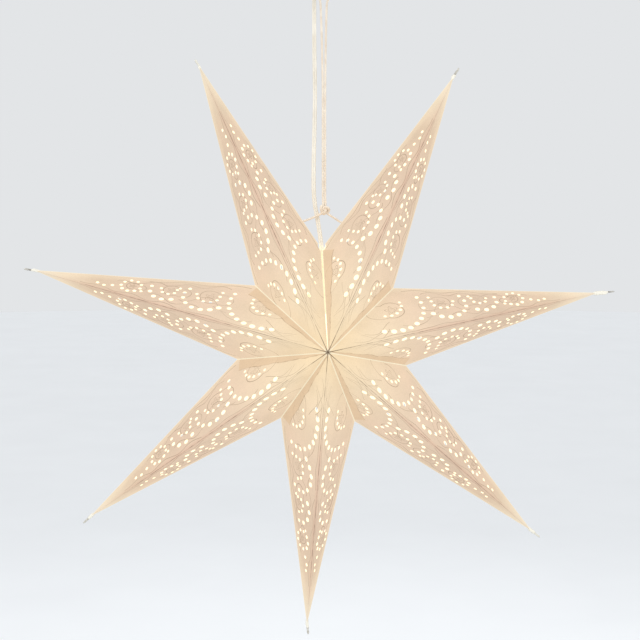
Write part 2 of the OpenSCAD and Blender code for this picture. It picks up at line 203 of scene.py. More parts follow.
def finish_material(tree: bpy.types.NodeTree, inputs: dict[str, Any]) -> None:
    """Ends a material in one Principled shader with these inputs."""
    shader = add_node(tree, "BsdfPrincipled", inputs)
    add_node(tree, "OutputMaterial", {"Surface": shader})


def chain(tree: bpy.types.NodeTree, operation: str, values: Sequence[Socket]) -> Socket:
    """Puts several values together by one operation, such as their product or the strongest of them.

    Args:
        tree: The material's tree.
        operation: The operation's name in Blender.
        values: Two or more values.

    Returns:
        The result.
    """
    total = values[0]
    for value in values[1:]:
        total = add_node(tree, "Math", [total, value], operation=operation)
    return total


def circle(radius: float, sides: int, centre: Point = (0.0, 0.0)) -> list[tuple[float, float]]:
    """Corners of a round outline, anticlockwise.

    Args:
        radius: Its radius.
        sides: Its number of corners.
        centre: Its middle.

    Returns:
        The corners.
    """
    turns = [2 * math.pi * i / sides for i in range(sides)]
    return [(centre[0] + radius * math.cos(a), centre[1] + radius * math.sin(a)) for a in turns]


def add_object(name: str, data: bpy.types.ID) -> bpy.types.Object:
    """Puts a new object with this data into the scene."""
    made = bpy.data.objects.new(name, data)
    bpy.context.scene.collection.objects.link(made)
    return made


def new_mesh(
    name: str, verts: Sequence[Point], faces: Sequence[Sequence[int]], materials: Sequence[bpy.types.Material]
) -> bpy.types.Mesh:
    """Makes a mesh from corners in metres and each face's corner numbers, with materials in slot order."""
    mesh = bpy.data.meshes.new(name)
    mesh.from_pydata([tuple(v) for v in verts], [], [tuple(f) for f in faces])
    for material in materials:
        mesh.materials.append(material)
    return mesh


def add_piece(name: str, mesh: bpy.types.Mesh) -> bpy.types.Object:
    """Puts a mesh into the scene as a piece that rides on the frame.

    Args:
        name: Name of the piece.
        mesh: Its mesh.

    Returns:
        The new object.
    """
    piece = add_object(name, mesh)
    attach(piece, BODY)
    return piece


def add_smooth_piece(
    name: str, shape: tuple[Sequence[Point], Sequence[Sequence[int]]], material: bpy.types.Material
) -> bpy.types.Object:
    """Makes a piece of one material, shaded smooth, from its corners and faces."""
    mesh = new_mesh(name, *shape, [material])
    mesh.validate()
    mesh.polygons.foreach_set("use_smooth", [True] * len(mesh.polygons))
    return add_piece(name, mesh)


# Finishes


@dataclass(frozen=True)
class Finish:
    """A surface in two close tones, with fine unevenness in its tone, gloss and height.

    Attributes:
        grain: Size of the fine unevenness, in millimetres.
        detail: How finely it is broken up.
        broad: Size of the broad unevenness, in millimetres.
        joined: Operation that puts the two together.
        span: The stretch of both together over which the shade turns into the colour.
        gloss_swing: How far the roughness strays.
        bump: Strength of the relief.
        relief: Height of the relief, in millimetres.
        stretch: Scale of the fine grain along each axis.
        broad_stretch: Scale of the broad one.
    """

    name: str
    colour: str
    shade: str
    roughness: float
    metallic: float = 0.0
    ior: float = 1.5
    grain: float = 0.6
    detail: float = 3.0
    broad: float = 14
    joined: str = "MULTIPLY"
    span: tuple[float, float] = (0.1, 0.45)
    gloss_swing: float = 0.06
    bump: float = 0.4
    relief: float = 0.05
    stretch: tuple[float, float, float] = (1, 1, 1)
    broad_stretch: tuple[float, float, float] = (1, 1, 1)
    sheen: float = 0.0
    glow: Optional[str] = None
    glow_strength: float = 0.0

    def build(self) -> bpy.types.Material:
        """Builds the material."""
        material, tree = new_material(self.name)
        place = add_node(tree, "TexCoord", out="Object")
        noises = []
        for size, detail, stretch in (
                (self.grain, self.detail, self.stretch), (self.broad, 2.0, self.broad_stretch)):
            mapped = add_node(tree, "Mapping", [place, None, None, stretch])
            noises.append(add_node(
                tree, "TexNoise", {"Vector": mapped, "Scale": 1 / (size * MM), "Detail": detail}))
        fine = noises[0]
        ramp = add_node(tree, "MapRange", [chain(tree, self.joined, noises), *self.span, 0.0, 1.0])
        tones = {"Factor": ramp, "A": srgb(self.shade), "B": srgb(self.colour)}
        colour = add_node(tree, "Mix", tones, out=2, data_type="RGBA")
        rough = add_node(tree, "MapRange", [
            fine, 0.3, 0.7, self.roughness - self.gloss_swing, self.roughness + self.gloss_swing])
        bump = add_node(tree, "Bump", {"Height": fine, "Strength": self.bump, "Distance": self.relief * MM})
        inputs = {
            "Base Color": colour, "Roughness": rough, "Normal": bump, "Metallic": self.metallic,
            "IOR": self.ior, "Sheen Weight": self.sheen}
        if self.glow:
            inputs |= {"Emission Color": srgb(self.glow), "Emission Strength": self.glow_strength}
        finish_material(tree, inputs)
        return material


# White thermoplastic of the lampholder and grip: satin skin with a fine spark texture
THERMOPLASTIC = Finish("Moulded_white_thermoplastic", "EDE9DF", "DAD5C8", 0.42, ior=1.49)
# Terminal and contact blocks: dull glass-filled polyamide, slightly greyer
POLYAMIDE = Finish("Moulded_polyamide", "DCD9D0", "C6C2B6", 0.6, ior=1.53)
# Enamelled ceiling cup: smooth, faint orange peel
ENAMEL = Finish("Enamelled_steel", "F0EDE6", "E4E0D6", 0.3, ior=1.52, grain=1.6, relief=0.03)
# Zinc plating: bright grey with a mottled, slightly cloudy shine
ZINC = Finish("Zinc_plated_steel", "C9CCD0", "A9ADB2", 0.34, metallic=1.0, grain=1.1, relief=0.02)
# Rolled brass strip of the contacts, its rolling marks along the strip
BRASS = Finish(
    "Rolled_brass", "D9B56A", "B98F48", 0.28, metallic=1.0, grain=0.5, stretch=(1, 1, 0.1),
    broad_stretch=(1, 1, 0.1))
# Frosted lamp glass, lit: the coating scatters the filament's warm light
LAMP_GLASS = Finish(
    "Frosted_lamp_glass", "FFF3DC", "FBE8C8", 0.35, ior=1.52, grain=0.8, glow="FFF1D2", glow_strength=1.2)
# Natural cotton, carded and twisted: matt, with fine fibres along each ply that lift as fuzz
COTTON = Finish(
    "Twisted_cotton", "F9EFDF", "E6D5C0", 0.92, ior=1.53, grain=0.35, broad=9, joined="ADD", span=(0.7, 1.25),
    gloss_swing=0.0, bump=0.45, relief=0.12, stretch=(1, 1, 0.25), sheen=0.25)
# Extruded PVC of a flat twin flex: satin, slightly yellowed, with faint draw marks along it
CABLE_PVC = Finish(
    "Extruded_PVC", "F8F3E6", "E9E1D1", 0.4, ior=1.54, grain=0.5, detail=2.0, broad=18, joined="ADD",
    span=(0.75, 1.25), bump=0.3, relief=0.03, stretch=(1, 1, 0.06))


class PanelKind(Enum):
    """How a panel looks when lit: plain, or with a glue tab or the closing flap behind its valley edge.

    The value is the kind's slot among an arm's materials.
    """

    PLAIN = 0
    TABBED = 1


# The other two slots of an arm: the card's lit inside, and the pinched card of the nibs
INSIDE_SLOT = 2
PINCHED_SLOT = 3
# UV of faces whose material doesn't look at it
UNUSED_UV = (0.1, 0.05)


@dataclass(frozen=True)
class PanelFields:
    """Measures of a point on a panel in millimetres, and the card's noises there, as a material's sockets."""

    uv: Socket
    u: Socket
    v: Socket
    from_edge: Socket
    from_valley: Socket
    along_valley: Socket
    cloud: Socket
    fibre: Socket
    shade_break: Socket


# A tone laid over the card: its colour, and how much of it shows at full strength
Tone = tuple[str, float]


@dataclass(frozen=True)
class LanternPaper:
    """Off-white lantern card, about 200 g, printed with fine scroll lines and lit from behind.

    The lit look is a glow that the card gives off, since the lamp shines through it: cream near the lamp,
    pinker and duller along the arm, and whiter again in the narrow tip. UVs are the panel's millimetres over
    UV_MM.
    """

    glow_share: float = 0.68
    body_share: float = 0.30
    lace_pink: Tone = ("F2C8B2", 0.3)
    border: Tone = ("F8E4C4", 0.4)
    ink: Tone = ("8E7A60", 0.66)
    # Pinkish painted shade beside the ridge
    ridge_shade: Tone = ("DDB49C", 0.38)
    # Dark painted shade on the ridge's fold
    crease_shade: Tone = ("6F5C4C", 0.75)
    # Painted shade where a tab's second layer of card lies behind
    tab: Tone = ("E6C9A6", 0.8)
    # Painted shadow along a tab's curled free edge
    tab_rim_shadow: Tone = ("9C7E60", 0.55)
    valley_light: Tone = ("FFF6DA", 0.85)
    edge_light: Tone = ("FFF2D8", 0.8)
    # Painted shade where the layers stack at the hub: a spot at its point and rays along the ridges
    hub_shade_spot: Tone = ("6B5238", 0.8)
    hub_shade_ray: Tone = ("5C4632", 0.8)
    # Soft side of a printed line, in millimetres
    ink_soft: float = 0.42
    # Lit colour from hub to tip, as shares of the panel's length
    run: tuple[tuple[float, str], ...] = (
        (0.0, "F8E0B8"), (0.2, "F5DFBF"), (0.4, "E9D3B8"), (0.62, "E0C9AF"), (0.8, "E3CCAF"), (0.9, "F0DFC2"),
        (0.96, "F5EBD3"), (1.0, "F6EFDC"))
    # Printed teardrops round the small curls: centre u and v, radius, and the point's reach towards the hub
    drops: tuple[tuple[float, float, float, float], ...] = (
        (88, 40, 12.5, 15), (140, 36, 10.5, 13), (177, 30, 8.5, 10), (214, 19, 6, 7))
    # Long printed scrolls: whether from the folded edge, middle, swing, wavelength, phase, start and end
    scrolls: tuple[tuple[bool, float, float, float, float, float, float], ...] = (
        (False, 6.5, 4.5, 46.0, 5.2, 32.0, 74.0), (False, 9.0, -5.5, 40.0, 5.0, 42.0, 73.0),
        (False, 17.0, 6.5, 54.0, 4.6, 46.0, 78.0),
        (False, 3.2, 1.2, 58.0, 0.0, 60.0, 150.0), (False, 15.5, 6.5, 66.0, 1.2, 88.0, 132.0),
        (False, 26.0, 9.0, 44.0, 0.4, 116.0, 166.0), (False, 12.0, 4.5, 38.0, 2.0, 140.0, 196.0),
        (True, 5.5, 1.6, 46.0, 0.0, 112.0, 205.0), (True, 9.5, 2.6, 30.0, 1.0, 128.0, 232.0),
        (False, 4.0, 1.4, 34.0, 0.6, 160.0, 262.0))

    def line(self, tree: bpy.types.NodeTree, distance: Socket, half_width: float, soft: float) -> Socket:
        """Strength of a thin line, 1 on it and 0 beyond its soft sides.

        Args:
            tree: The material's tree.
            distance: Signed distance from the line, in millimetres.
            half_width: Half of the line's full-strength width.
            soft: Width of its soft side.

        Returns:
            The strength.
        """
        away = add_node(tree, "Math", [distance], operation="ABSOLUTE")
        ends = [away, half_width, half_width + soft, 1.0, 0.0]
        return add_node(tree, "MapRange", ends, interpolation_type="SMOOTHSTEP")

    def blend(self, tree: bpy.types.NodeTree, colour: Socket, tone: Tone, strength: Socket) -> Socket:
        """Lays a tone over the colour by a strength."""
        over, most = tone
        strength = add_node(tree, "Math", [strength, most], operation="MULTIPLY")
        tones = {"Factor": strength, "A": colour, "B": srgb(over)}
        return add_node(tree, "Mix", tones, out=2, data_type="RGBA")

    def measured(self, tree: bpy.types.NodeTree) -> PanelFields:
        """Adds the nodes that measure a point of the panel, and the card's noises."""
        uv = add_node(tree, "UVMap", out="UV", uv_map="panel_mm")
        uv = add_node(tree, "VectorMath", {"Vector": uv, "Scale": UV_MM}, operation="SCALE")
        apart = add_node(tree, "SeparateXYZ", [uv]).node
        edge, valley, width = PANEL.edge_length, PANEL.valley_length, PANEL.notch_v
        slope, from_valley, along_valley = [
            add_node(tree, "VectorMath", [uv, direction], out="Value", operation="DOT_PRODUCT")
            for direction in (
                (-width / edge, -(PANEL.length - PANEL.notch_u) / edge, 0),
                (width / valley, -PANEL.notch_u / valley, 0),
                (PANEL.notch_u / valley, width / valley, 0))]
        from_edge = add_node(tree, "Math", [slope, PANEL.length * width / edge], operation="ADD")
        place = add_node(tree, "TexCoord", out="Object")
        # Cloudy thickness, paper fibre, and flecks that break up the painted shade of the ridge fold and tab
        # rim: size in millimetres, detail and roughness
        cloud, fibre, shade_break = [
            add_node(tree, "TexNoise", {
                "Vector": place, "Scale": 1 / (size * MM), "Detail": detail, "Roughness": roughness})
            for size, detail, roughness in ((26, 3.0, 0.5), (1.7, 4.0, 0.7), (7, 2.0, 0.5))]
        shade_break = add_node(tree, "MapRange", [shade_break, 0.4, 0.62, 0.3, 1.0])
        return PanelFields(
            uv, apart.outputs[0], apart.outputs[1], from_edge, from_valley, along_valley, cloud, fibre, shade_break)

    def run_colour(self, tree: bpy.types.NodeTree, at: PanelFields) -> Socket:
        """The lit colour along the arm, pinkish across the lace and creamier along the thin border."""
        share = add_node(tree, "Math", [at.u, 1 / PANEL.length], operation="MULTIPLY")
        ramp = add_node(tree, "ValToRGB", [share]).node
        stops = ramp.color_ramp.elements
        while len(stops) < len(self.run):
            stops.new(0.5)
        for stop, (reach, colour) in zip(stops, self.run):
            stop.position, stop.color = reach, srgb(colour)
        pink = add_node(tree, "MapRange", [share, 0.16, 0.4, 0.0, 1.0], interpolation_type="SMOOTHSTEP")
        pink = chain(tree, "MULTIPLY", [pink, at.cloud])
        colour = self.blend(tree, ramp.outputs[0], self.lace_pink, pink)
        border = add_node(
            tree, "MapRange", [at.from_edge, 3.0, 10.0, 1.0, 0.0], interpolation_type="SMOOTHSTEP")
        return self.blend(tree, colour, self.border, border)

    def drop_lines(self, tree: bpy.types.NodeTree, u: Socket, v: Socket) -> list[Socket]:
        """Strengths of the printed teardrops, pointed towards the hub, and the little flowers inside them."""
        strokes = []
        for cu, cv, radius, point in self.drops:
            du = add_node(tree, "Math", [u, cu], operation="SUBTRACT")
            dv = add_node(tree, "Math", [v, cv], operation="SUBTRACT")
            reach = add_node(tree, "Math", [du, du], operation="MULTIPLY")
            reach = add_node(tree, "Math", [dv, dv, reach], operation="MULTIPLY_ADD")
            reach = add_node(tree, "Math", [reach], operation="SQRT")
            turn = add_node(tree, "Math", [dv, du], operation="ARCTAN2")
            # The outline reaches out to its point where it faces the hub: 1 there and 0 a little to the side
            facing = add_node(tree, "Math", [turn], operation="COSINE")
            facing = add_node(tree, "MapRange", [facing, -0.55, -1.0, 0.0, 1.0])
            facing = add_node(tree, "Math", [facing, 1.6], operation="POWER")
            outline = add_node(tree, "Math", [facing, -point, reach], operation="MULTIPLY_ADD")
            petals = add_node(tree, "Math", [turn, 5.0], operation="MULTIPLY")
            petals = add_node(tree, "Math", [petals], operation="SINE")
            flower = add_node(tree, "Math", [petals, -0.15 * radius, reach], operation="MULTIPLY_ADD")
            for distance, size, half_width in (
                    (outline, radius, 0.2), (flower, 0.40 * radius, 0.13), (flower, 0.14 * radius, 0.13)):
                distance = add_node(tree, "Math", [distance, size], operation="SUBTRACT")
                strokes.append(self.line(tree, distance, half_width, self.ink_soft))
        return strokes

    def scroll_lines(self, tree: bpy.types.NodeTree, u: Socket, v: Socket, from_edge: Socket) -> list[Socket]:
        """Strengths of the long printed scrolls beside the ridge, near the hub and along the folded edge."""
        strokes = []
        for at_edge, middle, swing, wave, phase, start, end in self.scrolls:
            swung = add_node(tree, "Math", [u, 2 * math.pi / wave, phase], operation="MULTIPLY_ADD")
            swung = add_node(tree, "Math", [swung], operation="SINE")
            base = from_edge if at_edge else v
            swung = add_node(tree, "Math", [swung, -swing, base], operation="MULTIPLY_ADD")
            swung = add_node(tree, "Math", [swung, middle], operation="SUBTRACT")
            stroke = self.line(tree, swung, 0.14, self.ink_soft)
            inside = add_node(
                tree, "Math", [u, (start + end) / 2, (end - start) / 2], operation="COMPARE")
            strokes.append(chain(tree, "MULTIPLY", [stroke, inside]))
        return strokes

    def printed(self, tree: bpy.types.NodeTree, at: PanelFields) -> Socket:
        """Strength of all printed lines, which slip along the ridge with the lace and wander a little."""
        place = add_node(tree, "UVMap", out="UV", uv_map="print_mm")
        place = add_node(tree, "VectorMath", {"Vector": place, "Scale": UV_MM}, operation="SCALE")
        wander = add_node(tree, "TexNoise", {"Vector": place, "Scale": 1 / 24, "Detail": 1.0}, out="Color")
        wander = add_node(tree, "VectorMath", [wander, (0.5, 0.5, 0.5)], operation="SUBTRACT")
        wander = add_node(tree, "VectorMath", {"Vector": wander, "Scale": 5.0}, operation="SCALE")
        place = add_node(tree, "VectorMath", [place, wander], operation="ADD")
        u, v = add_node(tree, "SeparateXYZ", [place]).node.outputs[:2]
        strokes = [
            chain(tree, "MAXIMUM", self.drop_lines(tree, u, v)),
            chain(tree, "MAXIMUM", self.scroll_lines(tree, u, v, at.from_edge))]
        broken = add_node(tree, "MapRange", [at.cloud, 0.35, 0.6, 0.4, 1.0])
        # The print is fainter towards the hub
        near_hub = add_node(tree, "MapRange", [at.u, 30.0, 75.0, 0.55, 1.0])
        return chain(tree, "MULTIPLY", [chain(tree, "MAXIMUM", strokes), broken, near_hub])

    def score_ridge(self, tree: bpy.types.NodeTree, colour: Socket, at: PanelFields) -> Socket:
        """Paints shade along the ridge: a thin broken dark line on its fold, and a pinkish band of painted
        shade beside it beyond the hub; both fade in the tip.
        """
        outward = add_node(tree, "MapRange", [at.u, 70.0, 120.0, 0.0, 1.0], interpolation_type="SMOOTHSTEP")
        fading = add_node(tree, "MapRange", [at.u, 225.0, 285.0, 1.0, 0.15])
        # Painted shade: a pinkish band beside the ridge and a dark broken line on its fold
        ridge_shade = chain(tree, "MULTIPLY", [self.line(tree, at.v, 0.6, 4.2), outward, fading])
        crease_shade = chain(tree, "MULTIPLY", [self.line(tree, at.v, 0.22, 0.5), at.shade_break, fading])
        colour = self.blend(tree, colour, self.ridge_shade, ridge_shade)
        return self.blend(tree, colour, self.crease_shade, crease_shade)

    def lay_tab(self, tree: bpy.types.NodeTree, colour: Socket, at: PanelFields) -> Socket:
        """Paints shade over the card where a tab behind it lets less light through: a band that widens from
        the hub and is cut back at its outer end, with a painted shadow along its free edge.
        """
        valley = PANEL.valley_length
        wobble = add_node(tree, "TexNoise", {"Vector": at.uv, "Scale": 1 / 22, "Detail": 1.0})
        width = add_node(tree, "MapRange", [at.along_valley, 8.0, 0.92 * valley, 2.6, 13.2])
        width = add_node(tree, "Math", [wobble, 4.6, width], operation="MULTIPLY_ADD")
        width = add_node(tree, "Math", [width, 2.3], operation="SUBTRACT")
        inside = add_node(tree, "Math", [width, at.from_valley], operation="SUBTRACT")
        band = add_node(tree, "MapRange", [inside, -0.25, 0.45, 0.0, 1.0], interpolation_type="SMOOTHSTEP")
        end = add_node(tree, "Math", [at.from_valley, -0.5, 0.97 * valley], operation="MULTIPLY_ADD")
        end = add_node(tree, "Math", [end, at.along_valley], operation="SUBTRACT")
        end = add_node(tree, "MapRange", [end, -0.4, 0.4, 0.0, 1.0], interpolation_type="SMOOTHSTEP")
        # Painted shade of the tab's band
        colour = self.blend(tree, colour, self.tab, chain(tree, "MULTIPLY", [band, end]))
        # Painted shadow line along the tab's free edge
        rim = chain(tree, "MULTIPLY", [self.line(tree, inside, 0.2, 0.6), end, at.shade_break])
        return self.blend(tree, colour, self.tab_rim_shadow, rim)

    def light_edges(self, tree: bpy.types.NodeTree, colour: Socket, at: PanelFields) -> Socket:
        """Lets light leak at the valley and the folded edge, and paints shade where the layers stack at the
        hub's point.
        """
        colour = self.blend(tree, colour, self.valley_light, self.line(tree, at.from_valley, 0.25, 0.9))
        colour = self.blend(tree, colour, self.edge_light, self.line(tree, at.from_edge, 0.25, 0.9))
        # Painted shade of these stacked layers, creased like a small dark star
        hub = add_node(tree, "VectorMath", [at.uv], out="Value", operation="LENGTH")
        spot = add_node(tree, "MapRange", [hub, 0.6, 4.0, 1.0, 0.0])
        ray = add_node(tree, "MapRange", [hub, 3.0, 26.0, 1.0, 0.0])
        ray = chain(tree, "MULTIPLY", [ray, self.line(tree, at.v, 0.3, 0.7)])
        colour = self.blend(tree, colour, self.hub_shade_spot, spot)
        return self.blend(tree, colour, self.hub_shade_ray, ray)

    def build(self, kind: PanelKind) -> bpy.types.Material:
        """Builds the card's material for one kind of panel.

        Args:
            kind: Whether a tab lies behind the panel.

        Returns:
            The material.
        """
        material, tree = new_material(f"Lantern_card_{kind.name.lower()}")
        at = self.measured(tree)
        colour = self.blend(tree, self.run_colour(tree, at), self.ink, self.printed(tree, at))
        colour = self.score_ridge(tree, colour, at)
        if kind is PanelKind.TABBED:
            colour = self.lay_tab(tree, colour, at)
        colour = self.light_edges(tree, colour, at)
        tone = add_node(tree, "Math", [at.cloud, at.fibre], operation="ADD")
        tone = add_node(tree, "MapRange", [tone, 0.7, 1.3, 0.94, 1.06])
        colour = add_node(tree, "VectorMath", {"Vector": colour, "Scale": tone}, operation="SCALE")
        body = add_node(tree, "VectorMath", {"Vector": colour, "Scale": self.body_share}, operation="SCALE")
        bump = add_node(tree, "Bump", {"Height": at.fibre, "Strength": 0.35, "Distance": 0.12 * MM})
        finish_material(tree, {
            "Base Color": body, "Roughness": 0.85, "IOR": 1.46, "Normal": bump,
            "Emission Color": colour, "Emission Strength": self.glow_share})
        return material


@dataclass(frozen=True)
class LitInside:
    """The inner face of the card, in the lamp's own light: what shows through each pierced hole."""

    colour: str = "FFFBEA"
    shade: str = "FFF3D0"
    strength: float = 0.95

    def build(self) -> bpy.types.Material:
        """Builds the material."""
        material, tree = new_material("Lantern_card_inside")
        place = add_node(tree, "TexCoord", out="Object")
        cloud = add_node(tree, "TexNoise", {"Vector": place, "Scale": 1 / (20 * MM), "Detail": 3.0})
        fibre = add_node(tree, "TexNoise", {"Vector": place, "Scale": 1 / (1.7 * MM), "Detail": 4.0})
        tones = {"Factor": cloud, "A": srgb(self.colour), "B": srgb(self.shade)}
        colour = add_node(tree, "Mix", tones, out=2, data_type="RGBA")
        bump = add_node(tree, "Bump", {"Height": fibre, "Strength": 0.3, "Distance": 0.1 * MM})
        finish_material(tree, {
            "Base Color": srgb("B8A888"), "Roughness": 0.9, "IOR": 1.46, "Normal": bump,
            "Emission Color": colour, "Emission Strength": self.strength})
        return material


@dataclass(frozen=True)
class PinchedCard:
    """Card of the pinched nibs: four crushed layers that little light reaches, pale or grey and creased.

    The first UV coordinate of a nib is its paleness.
    """

    light: str = "D2CFC7"
    dark: str = "7F7A73"
    pale: str = "F5F0E1"

    def build(self) -> bpy.types.Material:
        """Builds the material."""
        material, tree = new_material("Pinched_card")
        place = add_node(tree, "TexCoord", out="Object")
        noise = add_node(tree, "TexNoise", {"Vector": place, "Scale": 1 / (3.2 * MM), "Detail": 4.0})
        factor = add_node(tree, "MapRange", [noise, 0.35, 0.65, 0.0, 1.0])
        tones = {"Factor": factor, "A": srgb(self.dark), "B": srgb(self.light)}
        colour = add_node(tree, "Mix", tones, out=2, data_type="RGBA")
        paleness = add_node(tree, "UVMap", out="UV", uv_map="panel_mm")
        paleness = add_node(tree, "SeparateXYZ", [paleness])
        tones = {"Factor": paleness, "A": colour, "B": srgb(self.pale)}
        colour = add_node(tree, "Mix", tones, out=2, data_type="RGBA")
        bump = add_node(tree, "Bump", {"Height": noise, "Strength": 0.6, "Distance": 0.4 * MM})
        finish_material(tree, {"Base Color": colour, "Roughness": 0.85, "IOR": 1.46, "Normal": bump})
        return material


# Cords


def smooth_run(route: Sequence[Point], between: int) -> list[Vector]:
    """Smooth line through a route's points.

    Args:
        route: Points in metres.
        between: Number of steps from one point to the next.

    Returns:
        Points of the line.
    """
    p = [Vector(q) for q in route]
    out = []
    for i in range(len(p) - 1):
        a, b, c, d = p[max(i - 1, 0)], p[i], p[i + 1], p[min(i + 2, len(p) - 1)]
        for s in range(between):
            t = s / between
            out.append(0.5 * (
                2 * b + (c - a) * t + (2 * a - 5 * b + 4 * c - d) * t * t + (3 * b - a - 3 * c + d) * t ** 3))
    return out + [p[-1]]


def carried_frames(line: Sequence[Vector], side: Vector) -> list[tuple[Vector, Vector]]:
    """Two cross directions at each point of a line, carried along it without twist.

    Args:
        line: Points of the line.
        side: First cross direction at the line's start.

    Returns:
        A pair of unit vectors for each point.
    """
    out = []
    for i, _ in enumerate(line):
        run = (line[min(i + 1, len(line) - 1)] - line[max(i - 1, 0)]).normalized()
        side = (side - run * side.dot(run)).normalized()
        out.append((side, run.cross(side)))
    return out


def tube(line: Sequence[Vector], outline: Sequence[tuple[float, float]], side: Vector,
         start: int = 0) -> tuple[list[Vector], list[list[int]]]:
    """Closed tube along a line.

    Args:
        line: Points of its middle, in metres.
        outline: Its section, as offsets along the two cross directions.
        side: First cross direction at the start.
        start: Number of the tube's first corner in the mesh that it joins.

    Returns:
        Corners and faces.
    """
    verts: list[Vector] = []
    faces: list[list[int]] = []
    n = len(outline)
    for i, (p, (a, b)) in enumerate(zip(line, carried_frames(line, side))):
        verts += [p + a * x + b * y for x, y in outline]
        if i:
            o = start + (i - 1) * n
            faces += [[o + j, o + (j + 1) % n, o + n + (j + 1) % n, o + n + j] for j in range(n)]
    faces.append([start + j for j in reversed(range(n))])
    faces.append([start + (len(line) - 1) * n + j for j in range(n)])
    return verts, faces


@dataclass
class TwistedString:
    """Three-ply cotton string: each ply winds round the line once in every lay."""

    diameter: float = 2.2 * MM
    lay: float = 5.2 * MM
    plies: int = 3
    ply_sides: int = 8
    ply_offset: float = 0.25
    ply_radius: float = 0.28
    steps_per_lay: int = 12

    def plies_along(self, line: Sequence[Vector], side: Vector) -> tuple[list[Vector], list[list[int]]]:
        """Meshes the plies along a line that is already fine enough.

        Args:
            line: Points in metres, about a step apart.
            side: First cross direction.

        Returns:
            Corners and faces.
        """
        verts: list[Vector] = []
        faces: list[list[int]] = []
        frames = carried_frames(line, side)
        offset = self.ply_offset * self.diameter
        ring = circle(self.ply_radius * self.diameter, self.ply_sides)
        travelled = [0.0]
        for a, b in zip(line, line[1:]):
            travelled.append(travelled[-1] + (b - a).length)
        for ply in range(self.plies):
            turns = [2 * math.pi * (ply / self.plies + s / self.lay) for s in travelled]
            wound = [
                p + (a * math.cos(t) + b * math.sin(t)) * offset for p, (a, b), t in zip(line, frames, turns)]
            v, f = tube(wound, ring, side, len(verts))
            verts += v
            faces += f
        return verts, faces

    def resample(self, line: Sequence[Vector]) -> list[Vector]:
        """The same line in steps short enough for the twist."""
        step = self.lay / self.steps_per_lay
        out = [line[0]]
        for a, b in zip(line, line[1:]):
            n = max(1, round((b - a).length / step))
            out += [a.lerp(b, (i + 1) / n) for i in range(n)]
        return out


def cord_rows(points: Sequence[Point]) -> list[tuple[float, float, float]]:
    """A route given in millimetres, in metres."""
    return [(x * MM, y * MM, z * MM) for x, y, z in points]


